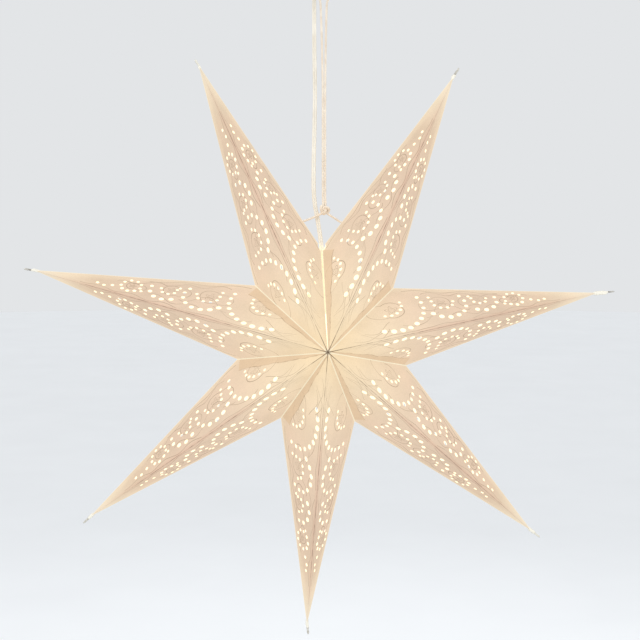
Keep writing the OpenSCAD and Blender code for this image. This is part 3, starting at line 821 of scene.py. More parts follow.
@dataclass
class Hanging:
    """The cords: the string from arm to arm, the loop on the ceiling hook, their knots and the cable."""

    string: TwistedString = field(default_factory=TwistedString)
    cable_width: float = 4.2 * MM
    cable_thickness: float = 2.4 * MM
    # Thickness of the web between the cable's cores, and how far out the web ends, as shares
    web_thickness: float = 0.42
    web_reach: float = 0.9
    knot_size: float = 11.6 * MM
    end_knot_size: float = 5.2 * MM
    cable_route: list = field(default_factory=lambda: cord_rows([
        (-5, 14, -12), (-5, 14, -28), (-5, 14, -44), (-5, 13.5, -62), (-5, 12, -95), (-4.6, 10, -135),
        (-5, 8.5, -165), (-5.8, 7, -195), (-6.2, 6, -220), (-6, 5, -237), (-5, 4.5, -249), (-3.2, 4, -259),
        (-1, 2.8, -273), (0.9, 1.4, -287), (1.5, 0.5, -298), (1.5, 0, -308), (1.5, 0, -318)]))
    loop_route: list = field(default_factory=lambda: cord_rows([
        (3, 0, -254), (2.8, 0, -246), (2.5, 0, -236), (2.45, 0, -190), (2.45, 0, -150), (2.3, 0, -128),
        (1.5, 0, -92), (0.4, 0, -58), (-0.5, 0, -51), (-1, 0, -46.5), (-0.5, 0, -43), (1.1, 0, -40.8),
        (3.4, 0, -40), (5.7, 0, -40.8), (7.3, 0, -43), (7.8, 0, -46.5), (7.3, 0, -51), (6.2, 0, -58),
        (5.4, 0, -92), (4.9, 0, -128), (4.8, 0, -150), (4.8, 0, -190), (4.8, 0, -236), (5, 0, -246),
        (5.2, 0, -254)]))
    arm_string_route: list = field(default_factory=lambda: cord_rows([
        (-22.5, 0, -267.5), (-19.7, 0, -266.4), (-16.9, 0, -265.3), (-11, 0, -263), (-5, 0, -260.6),
        (-1, 0, -258.7), (1.6, 0, -257.4), (4, 0, -256.9), (6.4, 0, -257.4), (9, 0, -258.9), (13, 0, -261.4),
        (17, 0, -264), (20.9, 0, -266.5), (23.6, 0, -268.2), (26.3, 0, -269.9)]))
    knot_at: Point = (4.1 * MM, 0, -254 * MM)

    def cable_section(self) -> list[tuple[float, float]]:
        """Outline of the flat twin cable: two round cores side by side with a groove between them."""
        out = []
        core = self.cable_width / 4
        for across, up in circle(1.0, 24):
            x = 2 * core * across
            height = math.sqrt(abs(1 - min(1, (abs(x) - core) / core) ** 2))
            if abs(across) < self.web_reach:
                height = max(height, self.web_thickness)
            y = self.cable_thickness / 2 * height
            out.append((x, y if up >= 0 else -y))
        return out

    def knot_mesh(self, size: float, at: Point, tilt: Matrix) -> tuple[list[Vector], list[list[int]]]:
        """An overhand knot of doubled string, drawn tight.

        Args:
            size: Width of the knot.
            at: Its middle.
            tilt: How it lies.

        Returns:
            Corners and faces.
        """
        doubled = TwistedString(
            diameter=0.42 * size, lay=2.4 * size, plies=2, ply_sides=12, ply_offset=0.25, ply_radius=0.27)
        # A trefoil reaches three times its scale to each side
        scale = (size - doubled.diameter) / 6
        depth = 1.25
        steps = 132
        line = []
        for i in range(steps + 1):
            t = 2 * math.pi * i / steps
            x, z = math.sin(t) + 2 * math.sin(2 * t), math.cos(t) - 2 * math.cos(2 * t)
            p = Vector((x, depth * math.sin(3 * t), z))
            line.append(Vector(at) + tilt @ (p * scale))
        return doubled.plies_along(line, Vector((0, 1, 0)))

    def cable(self, material: bpy.types.Material) -> bpy.types.Object:
        """The lamp's cable, from the grip under the ceiling cup, behind the string, to the lampholder."""
        line = smooth_run(self.cable_route, 6)
        shape = tube(line, self.cable_section(), Vector((1, 0, 0)))
        piece = add_smooth_piece("lamp_cable_flex", shape, material)
        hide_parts("lamp_cable")
        return piece

    def build(self, yarn: bpy.types.Material, sheath: bpy.types.Material) -> list[bpy.types.Object]:
        """Builds every cord.

        Args:
            yarn: Material of the string and its knots.
            sheath: Material of the cable.

        Returns:
            The pieces.
        """
        pieces = [self.cable(sheath)]
        knots = {}
        for node, size, at, turn in (
                ("string_knot", self.knot_size, self.knot_at, 25),
                ("left_end_knot", self.end_knot_size, self.arm_string_route[0], 70),
                ("right_end_knot", self.end_knot_size, self.arm_string_route[-1], 130)):
            shape = self.knot_mesh(size, at, Matrix.Rotation(math.radians(turn), 3, "Y"))
            knots[node] = add_smooth_piece(f"{node}_tied", shape, yarn)
            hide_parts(node)
        for node, route, far, carried in (
                ("hanging_loop", self.loop_route, "knot", ["string_knot"]),
                ("arm_string", self.arm_string_route, "knot", ["left_end_knot", "right_end_knot"])):
            line = self.string.resample(smooth_run(route, 8))
            shape = self.string.plies_along(line, Vector((0, 1, 0)))
            piece = add_smooth_piece(f"{node}_cotton", shape, yarn)
            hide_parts(node)
            pieces.append(piece)
        return pieces + list(knots.values())


# The paper star


@dataclass(frozen=True)
class Hole:
    """A round pierced hole of the lace, in the panel's millimetres."""

    u: float
    v: float
    radius: float

    def ring(self) -> list[tuple[float, float]]:
        """Corners of its outline, more for a large hole."""
        return circle(self.radius, 14 if self.radius > 1.75 else 11, (self.u, self.v))


@dataclass(frozen=True)
class HoleArc:
    """A row of holes on an arc: centre, radius, first angle, step in degrees, and each hole's radius."""

    centre: tuple[float, float]
    reach: float
    first: float
    step: float
    radii: tuple[float, ...]

    def holes(self) -> list[Hole]:
        """The holes of the row."""
        out = []
        for i, radius in enumerate(self.radii):
            a = math.radians(self.first + i * self.step)
            u, v = self.centre[0] + self.reach * math.cos(a), self.centre[1] + self.reach * math.sin(a)
            out.append(Hole(u, v, radius))
        return out


@dataclass
class PierceLace:
    """The lace of one panel: dotted scrolls that curl out from the ridge, ever smaller towards the tip.

    Attributes:
        slip: How far the lace sits out of place along the ridge, in millimetres.
        fold_margin: Least card between a hole and a fold.
        hole_margin: Least card between two holes.
    """

    slip: float = 0.0
    fold_margin: float = 1.0
    hole_margin: float = 0.45
    arcs: tuple[HoleArc, ...] = (
        HoleArc((83.5, 46), 38.6, -116, 13.9, (2.7, 2.9, 2.9, 2.7, 2.6, 2.4, 2.2, 2.1, 2.0, 1.9)),
        HoleArc((84, 50), 17.4, -111, 22.4, (1.6, 1.7, 1.75, 1.7, 1.65, 1.5)),
        HoleArc((144, 32.5), 21.5, -150, 24.5, (2.6, 2.7, 2.6, 2.4, 2.1, 2.0, 1.9, 1.8)),
        HoleArc((143, 37), 11.2, -14, -37, (1.6, 1.7, 1.75, 1.7, 1.7, 1.6)),
        HoleArc((182, 27), 16.4, -129, 32.5, (2.4, 2.4, 2.3, 2.1, 1.8)),
        HoleArc((181, 29.5), 7.8, -11, -48, (1.5, 1.65, 1.65, 1.6, 1.5)),
        HoleArc((216, 18.5), 9.8, -135, 40, (1.8, 1.8, 1.8, 1.65, 1.55, 1.55, 1.55, 1.55, 1.55)))
    singles: tuple[Hole, ...] = (
        Hole(132.6, 48, 1.5), Hole(172.5, 36.5, 1.5), Hole(203.3, 14, 1.5), Hole(232.5, 11.5, 1.7),
        Hole(239.7, 8, 1.65), Hole(247, 8.8, 1.6))

    def holes(self) -> list[Hole]:
        """Every hole that keeps clear of the panel's folds and of the holes before it."""
        kept: list[Hole] = []
        for drawn in [h for arc in self.arcs for h in arc.holes()] + list(self.singles):
            hole = Hole(drawn.u + self.slip, drawn.v, drawn.radius)
            apart = all(
                math.hypot(hole.u - h.u, hole.v - h.v) > hole.radius + h.radius + self.hole_margin
                for h in kept)
            if PANEL.from_folds(hole.u, hole.v) > hole.radius + self.fold_margin and apart:
                kept.append(hole)
        return kept


@dataclass
class PanelMesh:
    """Flat mesh of one pierced panel, made once and laid on every panel of its kind.

    Attributes:
        at_seam: Whether the panel lies at the closing seam, with the string's hole and a cut corner.
        spacing: Distance between the points inside, in millimetres.
        row_step: Distance between their rows, as a share of it.
        fold_clear: How far they keep from the folds.
        hole_clear: How far they keep from the holes.
        cut_clear: How far they keep from the cut corner.
        join_clear: How far the outline's own points keep from the string's hole and the cut corner.
    """

    at_seam: bool
    spacing: float = 7.5
    row_step: float = 0.87
    fold_clear: float = 2.2
    hole_clear: float = 1.2
    cut_clear: float = 2.0
    join_clear: float = 0.4
    ridge_steps: int = 44
    edge_steps: int = 30
    valley_steps: int = 18
    string_hole_reach: float = 31
    string_hole_radius: float = 1.4
    corner_cut: float = 4.6
    points: list[tuple[float, float]] = field(default_factory=list)
    triangles: list[tuple[int, int, int]] = field(default_factory=list)

    @staticmethod
    def arc(middle: Point, radius: float, start: float, end: float, steps: int) -> list[tuple[float, float]]:
        """Points of an arc from one angle to another, in radians."""
        turns = [start + (end - start) * i / steps for i in range(steps + 1)]
        return [(middle[0] + radius * math.cos(a), middle[1] + radius * math.sin(a)) for a in turns]

    def from_corner(self, u: float, v: float) -> float:
        """Distance of a point from the panel's corner at the notch."""
        return math.hypot(u - PANEL.notch_u, v - PANEL.notch_v)

    def outline(self) -> list[tuple[float, float]]:
        """The panel's outline from hub to tip to notch and back."""
        out = [(PANEL.length * i / self.ridge_steps, 0.0) for i in range(self.ridge_steps)]
        reach = [PANEL.edge_length * (1 - i / self.edge_steps) for i in range(self.edge_steps + 1)]
        edge = [PANEL.edge_point(r) for r in reach]
        shares = [1 - i / self.valley_steps for i in range(1, self.valley_steps)]
        valley = [(PANEL.notch_u * s, PANEL.notch_v * s) for s in shares]
        if not self.at_seam:
            return out + edge + valley
        notch = PANEL.edge_point(0)
        towards_tip = PANEL.edge_point(1)
        start = math.atan2(towards_tip[1] - notch[1], towards_tip[0] - notch[0])
        end = math.atan2(-notch[1], -notch[0])
        hole = self.arc(
            PANEL.edge_point(self.string_hole_reach), self.string_hole_radius, start, start - math.pi, 8)
        cut = self.arc(notch, self.corner_cut, start, end, 7)
        gap, corner = self.string_hole_radius + self.join_clear, self.corner_cut + self.join_clear
        upper = [p for p, r in zip(edge, reach) if r > self.string_hole_reach + gap]
        lower = [p for p, r in zip(edge, reach) if corner < r < self.string_hole_reach - gap]
        return out + upper + hole + lower + cut + [p for p in valley if self.from_corner(*p) > corner]

    def inner_points(self, holes: Sequence[Hole]) -> list[tuple[float, float]]:
        """Points in staggered rows that keep clear of folds, holes and the cut corner."""
        out = []
        row = 0
        v = self.spacing / 2
        while v < PANEL.notch_v:
            u = self.spacing * (0.5 if row % 2 else 0.0)
            while u < PANEL.length:
                clear = PANEL.from_folds(u, v) > self.fold_clear
                clear &= all(math.hypot(u - h.u, v - h.v) > h.radius + self.hole_clear for h in holes)
                clear &= not self.at_seam or self.from_corner(u, v) > self.corner_cut + self.cut_clear
                if clear:
                    out.append((u, v))
                u += self.spacing
            v += self.spacing * self.row_step
            row += 1
        return out

    def build(self, holes: Sequence[Hole]) -> "PanelMesh":
        """Triangulates the panel round its holes.

        Args:
            holes: The lace's holes.

        Returns:
            This mesh, filled.
        """
        points: list[tuple[float, float]] = []
        edges: list[tuple[int, int]] = []
        for ring in [self.outline()] + [hole.ring() for hole in holes]:
            first = len(points)
            points += ring
            edges += [(first + i, first + (i + 1) % len(ring)) for i in range(len(ring))]
        points += self.inner_points(holes)
        made, _, faces, *_ = delaunay_2d_cdt([Vector(p) for p in points], edges, [], 0, 1e-4)
        self.points = [(p.x, p.y) for p in made]
        for face in faces:
            u = sum(self.points[i][0] for i in face) / 3
            v = sum(self.points[i][1] for i in face) / 3
            if self.inside(u, v, holes):
                self.triangles.append(tuple(face))
        return self

    def inside(self, u: float, v: float, holes: Sequence[Hole]) -> bool:
        """Whether a triangle's middle is on the card of the panel, and not in a hole or the cut corner.

        A triangle in a many-sided hole has its middle a little inside the round that the hole stands for.
        """
        if PANEL.from_folds(u, v) < 1e-3:
            return False
        if any(math.hypot(u - h.u, v - h.v) < 0.945 * h.radius for h in holes):
            return False
        if not self.at_seam:
            return True
        middle = PANEL.edge_point(self.string_hole_reach)
        in_hole = math.hypot(u - middle[0], v - middle[1]) < self.string_hole_radius * 0.96
        return not in_hole and self.from_corner(u, v) > self.corner_cut * 0.985


@dataclass(frozen=True)
class Nib:
    """A pinched end, or one prong of a forked one.

    Attributes:
        length: How far it reaches beyond the folded tip, in millimetres.
        bend: Its bend in degrees, anticlockwise as seen from the front.
        paleness: 0 for grey and 1 for nearly white, where it is crushed.
        crushed: Length of its crushed end. The rest is flatter and still pale.
        plump: Its breadth as a share of a usual nib's.
    """

    length: float
    bend: float
    paleness: float
    crushed: float = 8.0
    plump: float = 1.0


@dataclass(frozen=True)
class TabPlan:
    """A glue tab or the closing flap along a valley, in millimetres, with its free edge curled."""

    start: float = 0.08
    run: float = 0.88
    root_width: float = 2.8
    widening: float = 11
    width_wave: float = 0.7
    root_slide: float = 1.4
    slide_back: float = 8.0
    curl: float = 1.6
    curl_waves: tuple[float, float] = (1.3, 0.6)
    gap: float = 0.62
    side_gap: float = 0.35
    flap_slope: float = 0.4
    thickness: float = 0.4
    rows: int = 26
    columns: int = 5

    def point(self, valley_length: float, i: int, j: int, phases: Sequence[float], own_flap: bool) -> Vector:
        """Place of a grid point along the valley, across the tab and in from the card.

        Args:
            valley_length: Length of the arm's own valley.
            i: Number of its row, from the hub.
            j: Number of its column, from the valley.
            phases: Phases of the three waves.
            own_flap: Whether it is the closing flap, which slopes away.

        Returns:
            The three distances.
        """
        out, part = i / self.rows, j / self.columns
        along = (self.start + self.run * out) * valley_length
        width = self.root_width + self.widening * out + self.width_wave * math.sin(along / 9 + phases[0])
        slide = (self.root_slide - self.slide_back * out) * part
        near, far = self.curl_waves
        curl = self.curl + near * math.sin(along / 11 + phases[1]) + far * math.sin(along / 5 + phases[2])
        depth = self.gap + part ** 3 * curl + (self.flap_slope * part if own_flap else 0)
        return Vector((along + slide, width * part + self.side_gap, depth))


TAB = TabPlan()


@dataclass
class StarArm:
    """One arm: a card folded along two ridges and two edges, pierced, with tabs and a pinched nib.

    Attributes:
        number: The arm's number, from 1.
        nibs: Its pinched end, or the prongs of a forked one.
        paper: Thickness of the card, in millimetres.
        bulge: Most that a panel swells, in millimetres.
        wave_height: Height of the card's slight waves.
        wave_reach: Distance from a fold at which the waves reach their full height.
        most_dent: Most that a panel dents inwards.
        sharpest: Least share by which a sharp fold divides the card's thickness.
        tip_inset: How far the inner face's tip is drawn back.
        nib_root: How far inside the folded tip a nib starts.
        nib_rings: Its steps along.
        nib_sides: Its sides.
    """

    number: int
    nibs: tuple[Nib, ...]
    paper: float = STAR.paper
    bulge: float = 1.3
    wave_height: float = 0.28
    wave_reach: float = 9
    most_dent: float = 1.5
    sharpest: float = 0.35
    tip_inset: float = 3.0
    nib_root: float = 9.0
    nib_rings: int = 16
    nib_sides: int = 10
    verts: list = field(default_factory=list)
    faces: list = field(default_factory=list)
    face_materials: list = field(default_factory=list)
    face_uvs: list = field(default_factory=list)

    @property
    def tip(self) -> Vector:
        """The arm's folded tip."""
        return STAR.tip(self.number)

    def corner(self, side: int) -> Vector:
        """The valley's outer end on one side of the arm: 0 clockwise, 1 anticlockwise."""
        return STAR.notch(self.number - 1 + side)

    def panel_normal(self, face: int, side: int) -> Vector:
        """Outward normal of a panel."""
        apex = STAR.apex(face)
        n = (self.tip - apex).cross(self.corner(side) - apex).normalized()
        return n if n.dot(apex - STAR.apex(0)) > 0 else -n

    def kind(self, side: int) -> PanelKind:
        """Whether a tab or the closing flap lies behind the panels on this side."""
        tabbed = self.number > 1 if side == 0 else self.number == STAR.arms
        return PanelKind.TABBED if tabbed else PanelKind.PLAIN

    def lift(self, u: float, v: float, swell: float, wave: float, phase: float) -> float:
        """How far a point of a panel stands off its plane.

        Args:
            u: Place along the ridge.
            v: Place across.
            swell: How far the panel swells in its middle.
            wave: How closely its waves follow each other.
            phase: Where they start.

        Returns:
            The distance, with 0 along the folds.
        """
        b = v / PANEL.notch_v
        a = (u - PANEL.notch_u * b) / PANEL.length
        # The product is 1/27 in the panel's middle
        swollen = swell * 27 * a * b * (1 - a - b)
        hold = min(1.0, max(0.0, PANEL.from_folds(u, v) / self.wave_reach)) ** 1.5
        waved = self.wave_height * hold * math.sin(u * wave * 2 + phase + v * 0.11)
        return max(swollen + waved, -self.most_dent)

    def outer_sheet(self, plain: PanelMesh, seam: PanelMesh) -> bmesh.types.BMesh:
        """Lays the flat panel meshes on the arm's four panels and joins them along ridges and edges.

        Args:
            plain: Flat mesh of an ordinary panel.
            seam: Flat mesh of a panel at the closing seam.

        Returns:
            The joined sheet, with the panel's number and its millimetres kept on its faces.
        """
        sheet = bmesh.new()
        which = sheet.faces.layers.int.new("panel")
        uv_layer = sheet.loops.layers.uv.new("panel_mm")
        rng = random.Random(100 + self.number)
        for face in (-1, 1):
            for side in (0, 1):
                at_seam = (self.number, side) in ((1, 0), (STAR.arms, 1))
                flat = seam if at_seam else plain
                apex, tip, notch = STAR.apex(face), self.tip, self.corner(side)
                normal = self.panel_normal(face, side)
                swell = rng.uniform(-0.3, 1.0) * self.bulge
                wave, phase = rng.uniform(0.05, 0.09), rng.uniform(0, 6)
                corners = []
                for u, v in flat.points:
                    b = v / PANEL.notch_v
                    a = (u - PANEL.notch_u * b) / PANEL.length
                    place = apex + (tip - apex) * a + (notch - apex) * b
                    place += normal * self.lift(u, v, swell, wave, phase)
                    corners.append(sheet.verts.new(place * MM))
                flip = (tip - apex).cross(notch - apex).dot(normal) < 0
                for tri in flat.triangles:
                    order = tri if not flip else tri[::-1]
                    made = sheet.faces.new([corners[i] for i in order])
                    made[which] = (0 if face < 0 else 2) + side
                    made.smooth = False
                    for loop, i in zip(made.loops, order):
                        loop[uv_layer].uv = (flat.points[i][0] / UV_MM, flat.points[i][1] / UV_MM)
        bmesh.ops.remove_doubles(sheet, verts=sheet.verts, dist=0.02 * MM)
        loose = [v for v in sheet.verts if not v.link_faces]
        bmesh.ops.delete(sheet, geom=loose, context="VERTS")
        return sheet

    def inward_shift(self, normals: Sequence[Vector]) -> Vector:
        """How far a corner moves to reach the card's inner face, from the normals of its panels."""
        if len(normals) == 1:
            return -normals[0] * self.paper
        if len(normals) == 2:
            a, b = normals
            return -(a + b) * self.paper / max(1 + a.dot(b), self.sharpest)
        return (STAR.apex(0) - self.tip).normalized() * self.tip_inset

    def add_face(self, corners: Sequence[int], material: int, uvs: Optional[Sequence] = None) -> None:
        """Adds a face with its material and its panel millimetres."""
        self.faces.append(list(corners))
        self.face_materials.append(material)
        self.face_uvs.append(uvs or [UNUSED_UV] * len(corners))

    def add_sheet(self, sheet: bmesh.types.BMesh) -> None:
        """Adds the joined sheet, its inner face and its cut edges."""
        which = sheet.faces.layers.int["panel"]
        uv_layer = sheet.loops.layers.uv["panel_mm"]
        normals = [self.panel_normal(face, side) for face in (-1, 1) for side in (0, 1)]
        kinds = [self.kind(side) for _ in (-1, 1) for side in (0, 1)]
        sheet.verts.index_update()
        first = len(self.verts)
        count = len(sheet.verts)
        self.verts += [v.co.copy() for v in sheet.verts]
        for v in sheet.verts:
            touched = sorted({f[which] for f in v.link_faces})
            self.verts.append(v.co + self.inward_shift([normals[i] for i in touched]) * MM)
        for f in sheet.faces:
            corners = [first + v.index for v in f.verts]
            uvs = [tuple(loop[uv_layer].uv) for loop in f.loops]
            self.add_face(corners, kinds[f[which]].value, uvs)
            self.add_face([c + count for c in reversed(corners)], INSIDE_SLOT, uvs[::-1])
        for edge in sheet.edges:
            if len(edge.link_faces) == 1:
                loop = edge.link_loops[0]
                a, b = first + loop.vert.index, first + loop.link_loop_next.vert.index
                self.add_face([b, a, a + count, b + count], INSIDE_SLOT)

    def add_tab(self, face: int, own_flap: bool) -> None:
        """Adds a glue tab under the next arm's card, or the closing flap under this arm's own.

        Args:
            face: -1 for the front, 1 for the back.
            own_flap: Whether it is the closing flap.
        """
        apex, notch = STAR.apex(face), self.corner(1)
        other = self.tip if own_flap else STAR.tip(self.number % STAR.arms + 1)
        valley = (notch - apex).normalized()
        across = (other - apex) - valley * (other - apex).dot(valley)
        across.normalize()
        inward = -(other - apex).cross(notch - apex).normalized()
        inward = inward if inward.dot(STAR.apex(0) - apex) > 0 else -inward
        rng = random.Random(500 + 10 * self.number + face)
        phases = [rng.uniform(0, 6) for _ in range(3)]
        grid = []
        for i in range(TAB.rows + 1):
            for j in range(TAB.columns + 1):
                along, out, depth = TAB.point((notch - apex).length, i, j, phases, own_flap)
                grid.append(apex + valley * along + across * out + inward * depth)
        first = len(self.verts)
        self.verts += [p * MM for p in grid] + [(p + inward * TAB.thickness) * MM for p in grid]
        n, w = len(grid), TAB.columns + 1
        for i in range(TAB.rows):
            for j in range(TAB.columns):
                a = first + i * w + j
                quad = [a, a + 1, a + w + 1, a + w]
                self.add_face(quad, INSIDE_SLOT)
                self.add_face([c + n for c in reversed(quad)], INSIDE_SLOT)
        rim = list(range(w)) + [i * w + TAB.columns for i in range(1, TAB.rows + 1)]
        rim += [TAB.rows * w + j for j in reversed(range(TAB.columns))]
        rim += [i * w for i in reversed(range(1, TAB.rows))]
        for a, b in zip(rim, rim[1:] + rim[:1]):
            self.add_face([first + b, first + a, first + a + n, first + b + n], INSIDE_SLOT)

    def nib_ring(self, nib: Nib, s: float, last: bool) -> tuple[Vector, float, float]:
        """Middle of a nib's section, and half its width and thickness.

        Args:
            nib: The nib.
            s: Distance along it from its root, in millimetres.
            last: Whether it is the end.

        Returns:
            The middle as shifts along the arm and to the side, and the two halves.
        """
        total = self.nib_root + nib.length
        beyond = max(0.0, s - self.nib_root + 2)
        drift = math.tan(math.radians(nib.bend) * min(1.0, beyond / 3)) * beyond
        fade = min(1.0, s / 6) * nib.plump
        narrowing = min(1.0, max(0.0, (s - total + nib.crushed + 1) / 2.5))
        half_w = fade * (1.6 - 0.6 * narrowing)
        half_t = (0.75 - 0.3 * s / total) * fade + 0.15
        return Vector((s - self.nib_root, drift, 0)), 0.45 if last else half_w, 0.3 if last else half_t

    def add_nib(self, nib: Nib) -> None:
        """Adds a pinched end: four crushed layers, flattened, bent to one side and a little twisted."""
        out = (self.tip - STAR.apex(0)).normalized()
        side = Vector((0, -1, 0)).cross(out).normalized()
        back = Vector((0, 1, 0))
        rng = random.Random(900 + self.number)
        total = self.nib_root + nib.length
        rings, sides = self.nib_rings, self.nib_sides
        first = len(self.verts)
        for i in range(rings + 1):
            s = total * i / rings
            shift, half_w, half_t = self.nib_ring(nib, s, i == rings)
            middle = self.tip + out * shift.x + side * shift.y
            twist = 0.25 * s / total + 0.1 * math.sin(s)
            for across, up in circle(1.0, sides):
                bump = 1 + (rng.uniform(-0.22, 0.22) if 2 < i < rings else 0.0)
                x, y = half_w * across * bump, half_t * up * bump
                self.verts.append((middle + side * (x * math.cos(twist) - y * math.sin(twist))
                                   + back * (x * math.sin(twist) + y * math.cos(twist))) * MM)
        for i in range(rings):
            paleness = nib.paleness if total * i / rings > total - nib.crushed else 1.0
            for j in range(sides):
                a, b = first + i * sides + j, first + i * sides + (j + 1) % sides
                self.add_face([a, a + sides, b + sides, b], PINCHED_SLOT, [(paleness, 0)] * 4)
        root = [first + j for j in range(sides)]
        end = [j + rings * sides for j in reversed(root)]
        self.add_face(root, PINCHED_SLOT, [(1.0, 0)] * sides)
        self.add_face(end, PINCHED_SLOT, [(nib.paleness, 0)] * sides)

    def build(
        self, plain: PanelMesh, seam: PanelMesh, materials: Sequence[bpy.types.Material]
    ) -> bpy.types.Object:
        """Builds the arm.

        Args:
            plain: Flat mesh of an ordinary panel.
            seam: Flat mesh of a panel at the closing seam.
            materials: Plain card, tabbed card, lit inside and pinched card.

        Returns:
            The arm's object.
        """
        sheet = self.outer_sheet(plain, seam)
        self.add_sheet(sheet)
        sheet.free()
        for face in (-1, 1):
            self.add_tab(face, own_flap=self.number == STAR.arms)
        for nib in self.nibs:
            self.add_nib(nib)
        name = f"arm_{self.number}_card"
        mesh = new_mesh(name, self.verts, self.faces, materials)
        mesh.polygons.foreach_set("material_index", self.face_materials)
        slip = STAR.lace_slip[self.number - 1] / UV_MM
        for layer_name, shift in (("panel_mm", 0.0), ("print_mm", slip)):
            layer = mesh.uv_layers.new(name=layer_name)
            layer.data.foreach_set("uv", [x for uvs in self.face_uvs for u, v in uvs for x in (u - shift, v)])
        mesh.polygons.foreach_set("use_smooth", [m == PINCHED_SLOT for m in self.face_materials])
        mesh.update()
        piece = add_piece(name, mesh)
        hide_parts(f"arm_{self.number}")
        return piece


@dataclass
class PaperStar:
    """The seven arms, glued side by side round the hub and closed at the top seam."""

    # The nibs of each arm; that of arm 6 is forked
    nibs: tuple[tuple[Nib, ...], ...] = (
        (Nib(5.6, 8, 0.75),), (Nib(9.4, 6, 0.1),), (Nib(9.3, 6, 0.4),), (Nib(10.5, 8, 0.35),),
        (Nib(11, 3, 0.7),),
        (Nib(10, -8, 0.6, 2, 1.2), Nib(17, -5, 0, 8, 0.8)), (Nib(9.2, -5, 0.35),))

    def build(self) -> list[bpy.types.Object]:
        """Builds every arm and returns them."""
        paper = LanternPaper()
        materials = [paper.build(kind) for kind in PanelKind] + [LitInside().build(), PinchedCard().build()]
        made = []
        for k, nibs in enumerate(self.nibs):
            holes = PierceLace(slip=STAR.lace_slip[k]).holes()
            plain = PanelMesh(at_seam=False).build(holes)
            seam = PanelMesh(at_seam=True).build(holes) if k in (0, STAR.arms - 1) else plain
            LOG.info("arm %d: %d holes a panel, %d triangles", k + 1, len(holes), len(plain.triangles))
            made.append(StarArm(k + 1, nibs).build(plain, seam, materials))
        return made


# Lamp and ceiling fitting


@dataclass
class KeptParts:
    """CAD solids whose shape stays: the lamp, its holder and the ceiling fitting, each in its own finish."""

    finishes: dict[str, Finish] = field(default_factory=lambda: {
        "holder_cap": THERMOPLASTIC, "holder_skirt": THERMOPLASTIC, "cord_grip": THERMOPLASTIC,
        "contact_block": POLYAMIDE, "terminal_block": POLYAMIDE, "ceiling_cup": ENAMEL,
        "ceiling_plate": ZINC, "cup_screws": ZINC, "string_hook": ZINC,
        "centre_contact": BRASS, "side_contact": BRASS, "bulb": LAMP_GLASS})

    def dress(self, nodes: dict[str, bpy.types.Object]) -> list[bpy.types.Object]:
        """Gives each solid its finish.

        Args:
            nodes: The frame's objects by node name.

        Returns:
            The dressed objects.
        """
        made: dict[str, bpy.types.Material] = {}
        for node, finish in self.finishes.items():
            if finish.name not in made:
                made[finish.name] = finish.build()
            for slot in nodes[node].material_slots:
                slot.material = made[finish.name]
        return [nodes[n] for n in self.finishes]


# Stage, light and camera


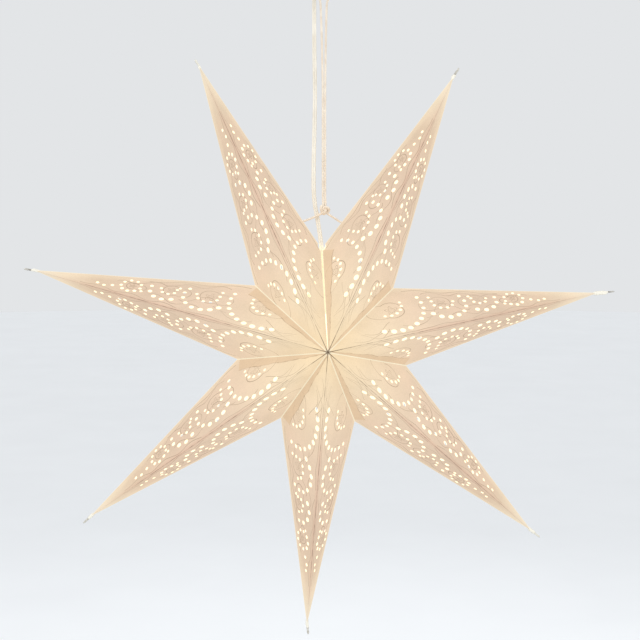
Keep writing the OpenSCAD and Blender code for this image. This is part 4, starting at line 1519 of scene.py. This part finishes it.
@dataclass
class Studio:
    """Pale floor and surroundings, three soft lamps, and the photograph's camera."""

    eye: Point = (-0.0909, -1.1545, -0.2567)
    right: Point = (0.9969, -0.0782, 0.0)
    up: Point = (0.0072, 0.0913, 0.9958)
    focal_px: float = 1167.1
    picture_px: float = 640
    sensor: float = 36
    floor_z: float = -1.5
    floor_reach: float = 14
    pale: str = "E3E5E7"
    floor_lift: float = 0.24

    def camera(self) -> bpy.types.Object:
        """Places the camera."""
        data = bpy.data.cameras.new("camera")
        data.sensor_width = self.sensor
        data.lens = self.focal_px * self.sensor / self.picture_px
        data.clip_start, data.clip_end = 0.01, 60
        camera = add_object("camera", data)
        right, up = Vector(self.right).normalized(), Vector(self.up).normalized()
        turn = Matrix((right, up, right.cross(up))).transposed().to_4x4()
        camera.matrix_world = Matrix.Translation(self.eye) @ turn
        bpy.context.scene.camera = camera
        return camera

    def floor(self) -> bpy.types.Object:
        """Wide pale floor below the lantern, as seen by the camera in the surroundings' own colour."""
        material, tree = new_material("Pale_floor")
        place = add_node(tree, "TexCoord", out="Object")
        noise = add_node(tree, "TexNoise", {"Vector": place, "Scale": 3.0, "Detail": 2.0})
        tones = {"Factor": noise, "A": srgb("DCDEE0"), "B": srgb(self.pale)}
        colour = add_node(tree, "Mix", tones, out=2, data_type="RGBA")
        # What the camera sees of it is lifted to the backdrop's tone; its shadows stay
        seen = add_node(tree, "LightPath", out="Is Camera Ray")
        lift = add_node(tree, "Math", [seen, self.floor_lift], operation="MULTIPLY")
        finish_material(tree, {
            "Base Color": colour, "Roughness": 0.8, "Emission Color": srgb(self.pale),
            "Emission Strength": lift})
        ring = [(x, y, self.floor_z) for x, y in circle(self.floor_reach, 64)]
        floor = add_object("floor", new_mesh("floor", ring, [range(len(ring))], [material]))
        return floor

    def world(self, light: float = 1.0) -> None:
        """Even pale light from all round, which the camera sees as a pale backdrop."""
        world = bpy.data.worlds.new("surroundings")
        bpy.context.scene.world = world
        world.use_nodes = True
        tree = world.node_tree
        tree.nodes.clear()
        path = add_node(tree, "LightPath").node
        seen = chain(tree, "MAXIMUM", [
            path.outputs[kind] for kind in ("Is Camera Ray", "Is Transmission Ray", "Is Glossy Ray")])
        strength = add_node(tree, "MapRange", [seen, 0.0, 1.0, light, 1.0])
        shade = add_node(tree, "Background", [srgb(self.pale), strength])
        add_node(tree, "OutputWorld", {"Surface": shade})

    def lamps(self) -> None:
        """A broad key from the upper left front, a fill from the right and a soft one from behind."""
        aim = Vector((0, 0, -0.36))
        for name, place, watts, size in (
                ("key", (-1.4, -1.9, 0.9), 24, 1.6), ("fill", (1.9, -1.4, -0.1), 12, 1.8),
                ("rear", (0.5, 2.2, 0.8), 16, 1.8)):
            data = bpy.data.lights.new(name, "AREA")
            data.energy, data.size = watts, size
            lamp = add_object(name, data)
            lamp.location = place
            lamp.rotation_euler = (aim - Vector(place)).to_track_quat("-Z", "Y").to_euler()


def main() -> None:
    """Builds everything in order and reports each piece."""
    logging.basicConfig(level=logging.INFO, format="%(name)s: %(message)s")
    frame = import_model()
    bpy.context.scene.view_settings.view_transform = "Standard"
    studio = Studio()
    studio.camera()
    pieces = Hanging().build(COTTON.build(), CABLE_PVC.build())
    pieces += PaperStar().build()
    pieces += KeptParts().dress(frame["nodes"])
    studio.floor()
    studio.world()
    studio.lamps()
    for piece in pieces:
        LOG.info("%s: %d faces", piece.name, len(piece.data.polygons))


if __name__ == "__main__":
    main()
